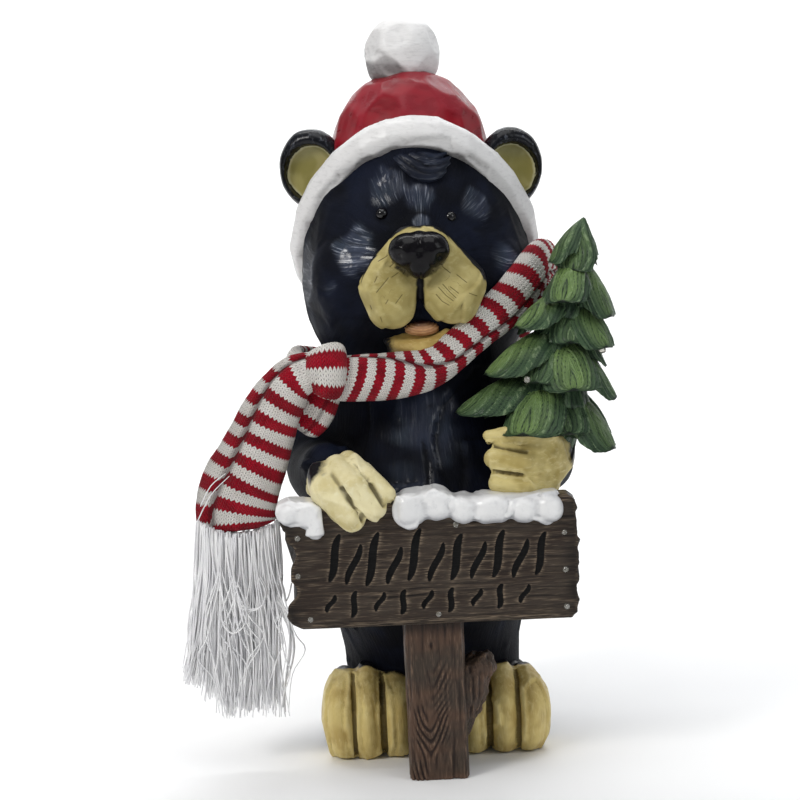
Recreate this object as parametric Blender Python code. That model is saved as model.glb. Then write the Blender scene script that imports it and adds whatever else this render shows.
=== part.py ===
# Christmas bear statue: a resin casting of a bear in a winter hat, holding a fir tree and a plank
# sign, with a knitted scarf and fringe tied on it and small clear lamp beads let into it.
# X runs to the viewer's right, the bear faces -Y, Z is up and the ground is at zero.
import math

import bmesh
import bpy
from mathutils import Euler, Matrix, Vector, noise

# Driving sizes, in metres
FIGURE_HEIGHT = 0.530
SIGN_WIDTH = 0.204
SIGN_HEIGHT = 0.087
SIGN_THICKNESS = 0.022
SIGN_AHEAD_OF_POST = 0.006
GRAIN_DEPTH = 0.0011
GRAIN_GROOVES = 3
STROKE_DEPTH = 0.0016
POST_WIDTH = 0.041
POST_DEPTH = 0.046
SNOW_OVERHANG = 0.010
LAMP_DIAMETER = 0.0046
LAMP_STANDS_OUT = 0.0016
LAMP_SOCKET_DEPTH = 0.0050
SCARF_THICKNESS = 0.015
SCARF_BAND = 0.031
TAIL_WIDTH = 0.054
TAIL_THICKNESS = 0.016
FRINGE_LENGTH = 0.139
FRINGE_THICKNESS = 0.013
TOUCHING_GAP = 0.0003
FACET_TIDY_DEG = 2.5
CLOTH_CLEARANCE = 0.0007

# The free forms are laid out in shares of the figure's height: one unit is a 530th of it
UNIT = FIGURE_HEIGHT / 530.0

# Places that several forms share, in units unless they are built from the sizes above
POST_BACK_Y = -88 * UNIT
POST_FRONT_Y = POST_BACK_Y - POST_DEPTH
SIGN_FRONT_Y = POST_FRONT_Y - SIGN_AHEAD_OF_POST
SIGN_BACK_Y = SIGN_FRONT_Y + SIGN_THICKNESS
SIGN_TOP_Z = 200 * UNIT
SIGN_BOTTOM_Z = SIGN_TOP_Z - SIGN_HEIGHT
TREE_FOOT = Vector((80, -82, 225)) * UNIT
TREE_APEX = Vector((119.5, -80, 387)) * UNIT


def spot(x, y, z):
    return Vector((x, y, z)) * UNIT


def material(name, colour, roughness, metallic=0.0):
    made = bpy.data.materials.new(name)
    made.use_nodes = True
    shader = made.node_tree.nodes["Principled BSDF"]
    shader.inputs["Base Color"].default_value = (*colour, 1.0)
    shader.inputs["Roughness"].default_value = roughness
    shader.inputs["Metallic"].default_value = metallic
    return made


def collection(name):
    made = bpy.data.collections.new(name)
    bpy.context.scene.collection.children.link(made)
    return made


def as_object(name, mesh_data, home):
    bmesh.ops.recalc_face_normals(mesh_data, faces=mesh_data.faces)
    mesh = bpy.data.meshes.new(name)
    mesh_data.to_mesh(mesh)
    mesh_data.free()
    made = bpy.data.objects.new(name, mesh)
    home.objects.link(made)
    return made


def as_tool(made):
    made.hide_render = True
    made.display_type = "WIRE"
    return made


# A turned or swept form: rings of points, each ring given by its centre and two half-axes
def skin(name, rings, home, sides=12, closed=False, round_ends=True, start=0.5):
    mesh_data = bmesh.new()
    loops = []
    for centre, half_a, half_b in rings:
        loop = []
        for step in range(sides):
            angle = math.tau * (step + start) / sides
            loop.append(mesh_data.verts.new(centre + half_a * math.cos(angle) + half_b * math.sin(angle)))
        loops.append(loop)
    pairs = list(zip(loops, loops[1:]))
    if closed:
        pairs.append((loops[-1], loops[0]))
    for lower, upper in pairs:
        for step in range(sides):
            after = (step + 1) % sides
            mesh_data.faces.new((lower[step], lower[after], upper[after], upper[step]))
    if not closed and round_ends:
        for loop, inner in ((loops[0], loops[1]), (loops[-1], loops[-2])):
            middle = sum((v.co for v in loop), Vector()) / sides
            further = sum((v.co for v in inner), Vector()) / sides
            reach = sum((v.co - middle).length for v in loop) / sides
            pole = mesh_data.verts.new(middle + (middle - further).normalized() * reach * 0.35)
            for step in range(sides):
                mesh_data.faces.new((loop[step], loop[(step + 1) % sides], pole))
    elif not closed:
        for loop in (loops[0], loops[-1]):
            mesh_data.faces.new(loop)
    return as_object(name, mesh_data, home)


# A stack of level ellipses: rows of height, centre y, half-width and half-depth
def stack(name, rows, home, centre_x=0.0, sides=16, grow=0.0):
    rings = []
    for height, centre_y, half_width, half_depth in rows:
        centre = spot(centre_x, centre_y, height)
        across = Vector((half_width * UNIT + grow, 0, 0))
        rings.append((centre, across, Vector((0, half_depth * UNIT + grow, 0))))
    return skin(name, rings, home, sides)


# An egg with knife-cut facets: a ball of flat faces, scaled and turned, with a little unevenness
def egg(name, centre, radii, home, turn=(0, 0, 0), fineness=2, knife=0.0, grow=0.0):
    mesh_data = bmesh.new()
    bmesh.ops.create_icosphere(mesh_data, subdivisions=fineness, radius=1.0)
    for vert in mesh_data.verts:
        vert.co *= 1.0 + knife * noise.noise(vert.co * 1.7 + centre * 40)
    scale = Matrix.Diagonal((*(Vector(radii) * UNIT + Vector((grow, grow, grow))), 1.0))
    turned = Euler([math.radians(angle) for angle in turn]).to_matrix().to_4x4()
    bmesh.ops.transform(mesh_data, matrix=Matrix.Translation(centre) @ turned @ scale, verts=mesh_data.verts)
    return as_object(name, mesh_data, home)


# A carved pebble: the tight skin round a few balls, each x, y, z and radius in units
def pebble(name, balls, home, fineness=1, grow=0.0):
    mesh_data = bmesh.new()
    for x, y, z, radius in balls:
        centred = Matrix.Translation(spot(x, y, z))
        bmesh.ops.create_icosphere(mesh_data, subdivisions=fineness, radius=radius * UNIT + grow,
                                   matrix=centred)
    bmesh.ops.delete(mesh_data, geom=mesh_data.edges[:], context="EDGES_FACES")
    bmesh.ops.convex_hull(mesh_data, input=mesh_data.verts)
    inside = [vert for vert in mesh_data.verts if not vert.link_faces]
    bmesh.ops.delete(mesh_data, geom=inside, context="VERTS")
    return as_object(name, mesh_data, home)


# Points along a smooth curve through a few chosen points, each with its own numbers carried along
def smooth_route(knots, steps, closed=False):
    count = len(knots)
    route = []
    spans = count if closed else count - 1
    for span in range(spans):
        for step in range(steps):
            share = step / steps
            four = []
            for offset in (-1, 0, 1, 2):
                index = span + offset
                index = index % count if closed else min(max(index, 0), count - 1)
                four.append(knots[index])
            route.append([0.5 * (2 * b + (c - a) * share + (2 * a - 5 * b + 4 * c - d) * share ** 2
                                 + (3 * b - a - 3 * c + d) * share ** 3) for a, b, c, d in zip(*four)])
    if not closed:
        route.append(list(knots[-1]))
    return route


# A limb: round sections along a smooth route, each knot being x, y, z and radius in units
def limb(name, knots, home, sides=10, steps=2, grow=0.0):
    route = smooth_route(knots, steps)
    places = [spot(*row[:3]) for row in route]
    rings = []
    for index, row in enumerate(route):
        along = places[min(index + 1, len(places) - 1)] - places[max(index - 1, 0)]
        side = along.cross(Vector((0, 0, 1)))
        side = Vector((1, 0, 0)) if side.length < 1e-6 else side.normalized()
        other = side.cross(along).normalized()
        radius = row[3] * UNIT + grow
        rings.append((places[index], side * radius, other * radius))
    return skin(name, rings, home, sides)


# Body, head and hat
TORSO_ROWS = (
    (-6, -8, 58, 50), (28, -6, 63, 57), (62, -7, 66, 62), (92, -13, 70, 76), (125, -19, 79, 92),
    (158, -20, 85, 99), (190, -17, 85, 95), (222, -12, 81, 87), (252, -8, 77, 79), (278, -5, 73, 72),
    (302, -4, 60, 60), (322, -4, 40, 40),
)
HEAD_ROWS = (
    (268, -10, 52, 54), (288, -10, 68, 70), (308, -10, 78, 80), (328, -10, 83, 84), (348, -10, 84, 85),
    (368, -9, 82, 83), (388, -9, 77, 78), (406, -9, 70, 73), (424, -9, 60, 63), (442, -14, 46, 56),
)
BRIM = {"centre": (0, 7, 369), "half_width": 79.5, "half_length": 104, "slope_deg": 50,
        "roll": 12.5, "length": 17.5, "sections": 22}
CROWN_ROWS = (
    (298, 46, 30, 34), (320, 36, 50, 52), (352, 26, 61, 61), (385, 20, 66, 72), (415, 12, 65, 72),
    (440, 8, 59, 63), (462, 6, 50, 51), (478, 6, 37, 38), (488, 8, 22, 24),
)
POMPON = {"centre": (-3, 10, 505), "radii": (26.5, 26, 25.5)}
EAR = {"centre": (73.5, 8, 421), "half_width": 24.5, "half_height": 30, "lean_deg": 10, "turn_deg": 14}
# Each ring of an ear: how far back it stands in units and its share of the ear's outline
EAR_RINGS = ((10, 0.7), (4, 0.98), (-5, 0.99), (-9, 0.84), (-7, 0.74), (-1, 0.62))
JOWLS = (
    ((-18, -93, 353, 19.5), (-22, -96, 335, 19), (-12, -97, 328, 14)),
    ((24, -93, 353, 19.5), (28, -96, 335, 19), (19, -97, 328, 14)),
)
BRIDGE = ((-15, -84, 365, 17), (21, -84, 365, 17), (3, -94, 375, 11), (3, -74, 386, 13), (3.5, -100, 362, 13))
CHIN = ((-19, -86, 312, 10), (20, -86, 312, 10), (0, -92, 308, 12))
NOSE = ((-5.5, -115, 373, 9.8), (13.5, -115, 373, 9.8), (4, -119, 374, 10), (4, -112, 360, 6))


def brim_rings(grow=0.0):
    slope = math.radians(BRIM["slope_deg"])
    down_back = Vector((0, math.cos(slope), -math.sin(slope)))
    out_front = Vector((0, -math.sin(slope), -math.cos(slope)))
    centre = spot(*BRIM["centre"])
    rings = []
    for step in range(BRIM["sections"]):
        angle = math.tau * step / BRIM["sections"]
        outward = (Vector((math.sin(angle), 0, 0)) * BRIM["half_width"]
                   - down_back * math.cos(angle) * BRIM["half_length"])
        rings.append((centre + outward * UNIT, outward.normalized() * (BRIM["roll"] * UNIT + grow),
                      out_front * (BRIM["length"] * UNIT + grow)))
    return rings


def add_head(home):
    stack("skull", HEAD_ROWS, home, centre_x=0.5)
    pebble("forelock", ((-14, -68, 431, 8), (17, -68, 431, 8), (3, -74, 427, 8)), home)
    for side in (-1, 1):
        egg("eye", spot(2 + side * 24, -84, 392.6), (5.2, 4.6, 5.2), home)


def add_muzzle(home):
    pebble("bridge", BRIDGE, home)
    for balls in JOWLS:
        pebble("jowl", balls, home, fineness=2)
    pebble("chin", CHIN, home)
    egg("tongue", spot(2, -92, 317), (11, 13, 7), home, fineness=1)
    pebble("nose", NOSE, home, fineness=2)


def add_hat(home):
    stack("crown", CROWN_ROWS, home, centre_x=-1, sides=11)
    egg("nape", spot(0, 36, 302), (56, 36, 32), home, fineness=1)
    skin("brim", brim_rings(), home, sides=7, closed=True, start=0.25)
    egg("pompon", spot(*POMPON["centre"]), POMPON["radii"], home, knife=0.05)


def add_ears(home):
    x, y, z = EAR["centre"]
    for side in (-1, 1):
        lean, turn = math.radians(EAR["lean_deg"]), math.radians(EAR["turn_deg"])
        turned = Euler((0, side * lean, side * turn)).to_matrix()
        rings = []
        for back, share in EAR_RINGS:
            rings.append((spot(side * x, y, z) + turned @ Vector((0, back * UNIT, 0)),
                          turned @ Vector((EAR["half_width"] * share * UNIT, 0, 0)),
                          turned @ Vector((0, 0, EAR["half_height"] * share * UNIT))))
        skin("ear", rings, home, sides=12, round_ends=False)


# Arms, paws and feet
LEFT_ARM = ((-58, -6, 268, 29), (-74, -6, 244, 30), (-77, -26, 209, 26), (-76, -64, 213, 24),
            (-72, -98, 222, 20))
RIGHT_ARM = ((58, -6, 268, 29), (76, -8, 244, 30), (86, -30, 208, 26), (84, -64, 212, 24), (80, -92, 221, 22))
# The fingers over the sign: x, depth behind the sign's face, z and radius
SIGN_FINGERS = (
    ((-74, 24, 222, 11), (-70, 6, 208, 11.5), (-58, -2, 194, 10.5)),
    ((-64, 26, 232, 11), (-52, 0, 215, 12), (-41, -3, 200, 10)),
    ((-54, 28, 234, 9), (-40, 6, 222, 10), (-30, 0, 209, 8.5)),
)
SIGN_PALM = ((-70, 40, 222, 17), (-62, 30, 224, 15), (-72, 22, 214, 13))
TREE_PALM = ((84, -92, 222, 22), (80, -112, 236, 12), (82, -112, 208, 12), (92, -96, 216, 12))
TREE_FINGERS = ((17.5, 49), (0.5, 47), (-16, 49))
TOES = ((71, 0.94), (49.5, 1.0), (27.5, 0.97))
TOE_ROWS = ((-3, -58, 10.5, 19), (14, -62, 12.5, 25), (32, -63, 13, 28), (48, -60, 12.3, 25), (58, -54, 10.5, 19),
            (63, -48, 7, 12))


def add_arms(home):
    limb("left_arm", LEFT_ARM, home)
    limb("right_arm", RIGHT_ARM, home)


# The paw on the sign lies over its top edge, so it follows the board's front face
def add_sign_paw(home):
    face = SIGN_FRONT_Y / UNIT
    for balls in (SIGN_PALM, *SIGN_FINGERS):
        pebble("sign_paw", [(x, face + back, z, radius) for x, back, z, radius in balls], home)


def add_tree_paw(home):
    pebble("tree_palm", TREE_PALM, home)
    for rise, tip in TREE_FINGERS:
        balls = ((86, -112, 219 + rise, 9), (68, -125, 221 + rise, 9.8), (tip, -122, 224 + rise, 9.2))
        pebble("tree_finger", balls, home)


def add_feet(home):
    for side in (-1, 1):
        egg("foot", spot(side * 47, -22, 24), (35, 50, 37), home)
        for x, size in TOES:
            lean = side * (2.5 if x > 60 else 0)
            rings = []
            for height, centre_y, half_width, half_depth in TOE_ROWS:
                middle = spot(side * x - lean * (1 - height / 32) ** 2, centre_y, height * size)
                rings.append((middle, Vector((half_width * UNIT, 0, 0)),
                              Vector((0, half_depth * size * UNIT, 0))))
            skin("toe", rings, home, sides=8)


# The fir tree: tiers of drooping boughs about a leaning stem. A tier is the place of its tips up
# the stem, the rise from tip to root, a bough's half-width, and each bough's bearing and reach
TREE_TIERS = (
    (133, 31, 12.5, ((-25, 18), (-105, 18), (-175, 18), (80, 16))),
    (106, 36, 15, ((-8, 33), (-94, 31), (-168, 24), (75, 28))),
    (82, 34, 18, ((-172, 36), (-36, 38), (45, 32))),
    (46, 40, 22, ((-174, 50), (-54, 47), (-6, 49), (-116, 38))),
    (12, 44, 25, ((-170, 64), (-108, 47), (-50, 50), (-6, 52), (40, 48))),
)
TREE_STEM = ((0, 27), (45, 23), (90, 17), (135, 9), (163, 2.2))
# A bough from root to tip: shares of its reach, rise, width and thickness
BOUGH_ROWS = ((-0.10, 1.00, 0.36, 0.35), (0.30, 0.80, 0.72, 0.62), (0.66, 0.42, 1.00, 0.72),
              (0.92, 0.07, 0.72, 0.50))


def tree_frame():
    along = (TREE_APEX - TREE_FOOT).normalized()
    right = Vector((1, 0, 0)) - along * along.x
    right.normalize()
    return right, along.cross(right), along


def bough(name, height, reach, rise, half_width, bearing, home, grow=0.0):
    right, back, along = tree_frame()
    angle = math.radians(bearing)
    out = right * math.cos(angle) + back * math.sin(angle)
    across = along.cross(out)
    rings = []
    for share_out, share_up, share_wide, share_thick in BOUGH_ROWS:
        centre = TREE_FOOT + (out * reach * share_out + along * (height + rise * share_up)) * UNIT
        thick = (along * 0.85 + out * 0.5).normalized() * (half_width * share_thick * 0.8 * UNIT + grow)
        rings.append((centre, across * (half_width * share_wide * UNIT + grow), thick))
    return skin(name, rings, home, sides=6)


def add_tree(home, grow=0.0):
    right, back, along = tree_frame()
    for height, rise, half_width, boughs in TREE_TIERS:
        for bearing, reach in boughs:
            bough("bough", height, reach, rise, half_width, bearing, home, grow)
    rings = []
    for height, radius in TREE_STEM:
        centre = TREE_FOOT + along * height * UNIT
        rings.append((centre, right * (radius * UNIT + grow), back * (radius * UNIT + grow)))
    skin("stem", rings, home, sides=8)


# The sign: a plank with ragged ends and grooved grain. The ends are rows of a share of the
# plank's height and how far the wood is broken back there, in units
LEFT_END = ((0.0, 10), (0.05, 5), (0.15, 2.5), (0.24, 4), (0.30, 8), (0.36, 5.5), (0.50, 7), (0.62, 8.5), (0.68, 5),
            (0.78, 3), (0.86, 0), (0.93, 1.5), (0.97, 3), (1.0, 6))
RIGHT_END = ((0.0, 7), (0.05, 2.5), (0.15, 1), (0.30, 1.5), (0.50, 0.5), (0.65, 0), (0.75, 1.5), (0.90, 0.5),
             (0.96, 1.5), (1.0, 6))
# The grooves share out this band of the plank's height, and each is this wide a share to a side
GRAIN_BAND = (0.13, 0.90)
GROOVE_REACH = 0.025
# The plank's long edges are rounded back by this share of its thickness
EDGE_ROUNDING = 0.12
# Rows of strokes: the share of the plank's height at their middle, their length, width and number
STROKE_ROWS = ((0.575, 0.36, 0.040, 7), (0.225, 0.15, 0.028, 8))
STROKES = {"lean_deg": 24, "from_left": 0.17, "to_right": 0.89}
STROKE_SIDES = 4


def inset_at(rows, share):
    for (low, low_inset), (high, high_inset) in zip(rows, rows[1:]):
        if share <= high:
            return low_inset + (high_inset - low_inset) * (share - low) / (high - low)
    return rows[-1][1]


def add_plank(home):
    mesh_data = bmesh.new()
    shares = [0.0, 0.04, 0.1]
    low_grain, high_grain = GRAIN_BAND
    for groove in range(GRAIN_GROOVES):
        middle = low_grain + (high_grain - low_grain) * (groove + 0.5) / GRAIN_GROOVES
        shares += [middle - GROOVE_REACH, middle, middle + GROOVE_REACH]
    shares += [0.93, 0.97, 1.0]
    columns = 4
    front = []
    back = []
    for row, share in enumerate(shares):
        left = -SIGN_WIDTH / 2 + inset_at(LEFT_END, share) * UNIT
        right = SIGN_WIDTH / 2 - inset_at(RIGHT_END, share) * UNIT
        in_groove = 3 <= row < len(shares) - 3 and (row - 3) % 3 == 1
        edge = share in (shares[0], shares[-1])
        front_row = []
        for column in range(columns + 1):
            x = left + (right - left) * column / columns
            wave = noise.noise(Vector((x * 30, share * 5, 0.5)))
            z = SIGN_BOTTOM_Z + SIGN_HEIGHT * share + (0 if edge else wave * SIGN_HEIGHT * 0.014)
            y = SIGN_FRONT_Y + (GRAIN_DEPTH * (1.0 + 0.6 * wave) if in_groove else 0.0)
            if edge or column in (0, columns):
                y += SIGN_THICKNESS * EDGE_ROUNDING
            front_row.append(mesh_data.verts.new((x, y, z)))
        front.append(front_row)
        back.append([mesh_data.verts.new((v.co.x, SIGN_BACK_Y, v.co.z)) for v in (front_row[0], front_row[-1])])
    for low, high in zip(front, front[1:]):
        for column in range(columns):
            mesh_data.faces.new((low[column], low[column + 1], high[column + 1], high[column]))
    for (low_front, high_front), (low_back, high_back) in zip(zip(front, front[1:]), zip(back, back[1:])):
        mesh_data.faces.new((high_front[0], high_back[0], low_back[0], low_front[0]))
        mesh_data.faces.new((low_front[-1], low_back[1], high_back[1], high_front[-1]))
        mesh_data.faces.new((low_back[0], high_back[0], high_back[1], low_back[1]))
    mesh_data.faces.new((*front[0], back[0][1], back[0][0]))
    mesh_data.faces.new((*reversed(front[-1]), back[-1][0], back[-1][1]))
    return as_object("plank", mesh_data, home)


# Slanted brush strokes, painted dark, stand where the sign carries its inscription
def add_strokes(cuts):
    lean = math.radians(STROKES["lean_deg"])
    for middle, tall, broad, count in STROKE_ROWS:
        for index in range(count):
            share = STROKES["from_left"] + (STROKES["to_right"] - STROKES["from_left"]) * (index + 0.5) / count
            length = SIGN_HEIGHT * tall * (0.86 + 0.28 * math.sin(index * 2.4) ** 2)
            along = Vector((math.sin(lean), 0, math.cos(lean)))
            across = Vector((math.cos(lean), 0, -math.sin(lean)))
            centre = Vector((SIGN_WIDTH * (share - 0.5), SIGN_FRONT_Y, SIGN_BOTTOM_Z + SIGN_HEIGHT * middle))
            wide = SIGN_WIDTH * broad / 2 * (1.0 if index % 2 == 0 else 0.75)
            mesh_data = bmesh.new()
            outline = []
            for step in range(STROKE_SIDES):
                angle = math.tau * (step + 0.5) / STROKE_SIDES
                outline.append(centre + across * math.cos(angle) * wide + along * math.sin(angle) * length * 0.6)
            near = [mesh_data.verts.new(p - Vector((0, SIGN_THICKNESS * 0.3, 0))) for p in outline]
            far = [mesh_data.verts.new(p + Vector((0, STROKE_DEPTH, 0))) for p in outline]
            mesh_data.faces.new(near)
            mesh_data.faces.new(far)
            for step in range(STROKE_SIDES):
                after = (step + 1) % STROKE_SIDES
                mesh_data.faces.new((near[step], near[after], far[after], far[step]))
            as_tool(as_object("stroke", mesh_data, cuts))


# Snow lumps along the top edge: the place and half-width of each, how high its middle stands
# below the edge and its half-height. The right-hand lumps lie side by side from a start
LEFT_SNOW = ((10, 10.5, -7, 10.5), (23, 11.5, -12.5, 14.5))
RIGHT_SNOW_START = 80
RIGHT_SNOW = ((20, 14, -7), (17, 14, -4), (17, 12.5, -5.5), (24, 13, -5.5), (20, 12.5, -5.5), (18.5, 13, -5.5))


def add_snow(home):
    face = SIGN_FRONT_Y + SIGN_THICKNESS / 2
    deep = (SIGN_THICKNESS / 2 + SNOW_OVERHANG) / UNIT
    lumps = list(LEFT_SNOW)
    across = RIGHT_SNOW_START
    for width, half_height, middle in RIGHT_SNOW:
        lumps.append((across + width / 2, width / 2 + 2, middle, half_height))
        across += width
    for index, (across, half_width, middle, half_height) in enumerate(lumps):
        place = Vector((-SIGN_WIDTH / 2 + across * UNIT, face, SIGN_TOP_Z + middle * UNIT))
        egg("snow", place, (half_width, deep, half_height), home, turn=(6, index * 37, 0))


# The post: shares of its height where its grain bends, and how far up behind the plank it reaches
POST_LEVELS = (-0.03, 0.35, 0.7, 1.0)
POST_GROOVES = 4
POST_BEHIND_SIGN = 0.35
# The branch stub beside the post: out from its side, back from its middle, height and radius
BRANCH_STUB = ((-8, 0, 44, 13), (6, 0, 60, 12), (13, 0, 74, 10.5), (15, 0, 84, 8.5))


def add_post(home):
    mesh_data = bmesh.new()
    last = POST_GROOVES * 2
    top = SIGN_BOTTOM_Z + SIGN_HEIGHT * POST_BEHIND_SIGN
    front = []
    for level in POST_LEVELS:
        row = []
        for column in range(last + 1):
            share = column / last - 0.5
            corner = column in (0, last)
            sway = 0.0 if corner else math.sin(level * 5 + share * 3) * 0.03
            sunk = GRAIN_DEPTH * 1.6 if corner or column % 2 else 0.0
            row.append(mesh_data.verts.new((POST_WIDTH * (share + sway), POST_FRONT_Y + sunk, top * level)))
        front.append(row)
    back = [[mesh_data.verts.new((row[i].co.x, POST_BACK_Y, row[i].co.z)) for i in (0, -1)] for row in front]
    for low, high in zip(front, front[1:]):
        for column in range(last):
            mesh_data.faces.new((low[column], low[column + 1], high[column + 1], high[column]))
    for (low, high), (low_back, high_back) in zip(zip(front, front[1:]), zip(back, back[1:])):
        mesh_data.faces.new((high[0], high_back[0], low_back[0], low[0]))
        mesh_data.faces.new((low[-1], low_back[1], high_back[1], high[-1]))
        mesh_data.faces.new((low_back[0], high_back[0], high_back[1], low_back[1]))
    mesh_data.faces.new((*front[0], back[0][1], back[0][0]))
    mesh_data.faces.new((*reversed(front[-1]), back[-1][0], back[-1][1]))
    as_object("post", mesh_data, home)
    side = POST_WIDTH / 2 / UNIT
    middle = (POST_FRONT_Y + POST_BACK_Y) / 2 / UNIT
    knots = [(side + out, middle + back, z, radius) for out, back, z, radius in BRANCH_STUB]
    limb("branch_stub", knots, home, sides=9)


# Clear lamp beads: a bead in a socket with the touching gap round it. Beads in the sign face
# forward; those in the tree look out from between its boughs
SIGN_LAMPS = ((-0.445, 0.745), (-0.45, 0.44), (-0.415, 0.085), (0.02, 0.085), (0.09, 0.80),
              (0.455, 0.70), (0.455, 0.40), (0.455, 0.10))
LAMP_SIDES = 6
# Tree beads: place, bearing outwards and the length of the twig that carries each
TREE_LAMPS = ((72, -121, 278, -98, 26), (129, -86, 292, -5, 36))


def lamp_rings(face, outward, radius, sunk, proud):
    side = outward.cross(Vector((0, 0, 1))).normalized()
    other = side.cross(outward)
    rings = []
    for depth, share in ((-sunk, 1.0), (0.0, 1.0), (proud, 0.5)):
        rings.append((face + outward * depth, side * radius * share, other * radius * share))
    return rings


def add_lamp(name, face, outward, home, cuts, look):
    radius = LAMP_DIAMETER / 2
    bead = skin(name, lamp_rings(face, outward, radius, LAMP_SOCKET_DEPTH, LAMP_STANDS_OUT), home,
                sides=LAMP_SIDES, round_ends=False)
    bead.data.materials.append(look)
    bead.data.shade_smooth()
    socket = skin("socket", lamp_rings(face, outward, radius + TOUCHING_GAP, LAMP_SOCKET_DEPTH + TOUCHING_GAP,
                                       LAMP_STANDS_OUT * 3), cuts, sides=LAMP_SIDES, round_ends=False)
    as_tool(socket)


def add_lamps(home, forms, cuts, look):
    for index, (share_x, share_z) in enumerate(SIGN_LAMPS):
        face = Vector((SIGN_WIDTH * share_x, SIGN_FRONT_Y, SIGN_BOTTOM_Z + SIGN_HEIGHT * share_z))
        add_lamp(f"sign_light_{index + 1:02d}", face, Vector((0, -1, 0)), home, cuts, look)
    for index, (x, y, z, bearing, length) in enumerate(TREE_LAMPS):
        angle = math.radians(bearing)
        outward = Vector((math.cos(angle), math.sin(angle), 0))
        face = spot(x, y, z)
        side = outward.cross(Vector((0, 0, 1))).normalized()
        rings = []
        for depth in (0, length * UNIT):
            rings.append((face - outward * depth, side * LAMP_DIAMETER, side.cross(outward) * LAMP_DIAMETER))
        as_tool(skin("lamp_twig", rings, forms, sides=LAMP_SIDES, round_ends=False))
        add_lamp(f"tree_light_{index + 1:02d}", face, outward, home, cuts, look)


# The scarf: the wrap's knots are x, y and z; a tail's knots also carry shares of width and thickness
WRAP = (
    (-48, -100, 281), (-14, -104, 285), (12, -103, 290), (38, -93, 304), (60, -76, 321), (80, -55, 337),
    (93, -24, 347), (100, 8, 343), (92, 42, 322), (69, 70, 294), (30, 82, 271), (-12, 83, 264),
    (-54, 71, 267), (-84, 38, 277), (-94, -8, 287), (-89, -56, 287),
)
KNOT = ((-76, -96, 292, 13), (-60, -98, 289, 12), (-66, -99, 277, 12))
TAIL = ((-78, -100, 294, 0.55, 0.9), (-97, -98, 290, 0.72, 1.0), (-106, -94, 268, 0.86, 1.0),
        (-118, -88, 238, 0.97, 0.95), (-130, -83, 204, 1.08, 0.9), (-135, -81, 166, 1.04, 0.85))
TAIL_END = (-134, -81, 175)
BACK_TAIL = ((-66, -92, 276, 0.6, 0.7), (-76, -90, 258, 0.7, 0.7), (-92, -84, 238, 0.75, 0.7),
             (-112, -80, 210, 0.75, 0.7))
# The fringe: share of its length, sideways drift in units and share of the tail's width
FRINGE = ((0.0, 0.0, 1.0), (0.45, -5, 1.2), (0.8, -8, 1.34), (1.0, -8, 1.3))


def add_wrap(home):
    route = smooth_route(WRAP, 2, closed=True)
    places = [spot(*row) for row in route]
    rings = []
    for index, place in enumerate(places):
        along = (places[(index + 1) % len(places)] - places[index - 1]).normalized()
        outward = Vector((place.x, place.y * 0.9, 0)).normalized() + Vector((0, 0, 0.1))
        outward = (outward - along * along.dot(outward)).normalized()
        band = outward.cross(along)
        rings.append((place, outward * SCARF_THICKNESS / 2, band * SCARF_BAND / 2))
    return skin("scarf_wrap", rings, home, sides=8, closed=True)


def flat_tail(name, knots, width, thickness, home):
    route = smooth_route(knots, 2)
    places = [spot(*row[:3]) for row in route]
    rings = []
    for index, row in enumerate(route):
        along = (places[min(index + 1, len(places) - 1)] - places[max(index - 1, 0)]).normalized()
        across = along.cross(Vector((0.25, -1, 0))).normalized()
        rings.append((places[index], across * width / 2 * row[3],
                      across.cross(along) * thickness / 2 * row[4]))
    return skin(name, rings, home, sides=8, round_ends=False)


def cut_below(made, height):
    mesh_data = bmesh.new()
    mesh_data.from_mesh(made.data)
    every = mesh_data.verts[:] + mesh_data.edges[:] + mesh_data.faces[:]
    bmesh.ops.bisect_plane(mesh_data, geom=every, plane_co=(0, 0, height), plane_no=(0, 0, -1),
                           clear_outer=True)
    bmesh.ops.holes_fill(mesh_data, edges=[edge for edge in mesh_data.edges if edge.is_boundary])
    bmesh.ops.recalc_face_normals(mesh_data, faces=mesh_data.faces)
    mesh_data.to_mesh(made.data)
    mesh_data.free()


def add_fringe(home, look):
    top = spot(*TAIL_END) - Vector((0, 0, TOUCHING_GAP))
    rings = []
    for share, drift, wide in FRINGE:
        centre = top + Vector((drift * UNIT, 0, -FRINGE_LENGTH * share))
        rings.append((centre, Vector((TAIL_WIDTH / 2 * wide, 0, 0)), Vector((0, FRINGE_THICKNESS / 2, 0))))
    fringe = skin("scarf_fringe", rings, home, sides=12, round_ends=False)
    fringe.data.materials.append(look)


def tidy_facets(target):
    step = target.modifiers.new("facets", "DECIMATE")
    step.decimate_type = "DISSOLVE"
    step.angle_limit = math.radians(FACET_TIDY_DEG)


def boolean(target, operation, tools):
    step = target.modifiers.new(operation.lower(), "BOOLEAN")
    step.operation = operation
    step.solver = "MANIFOLD"
    step.operand_type = "COLLECTION"
    step.collection = tools


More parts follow.
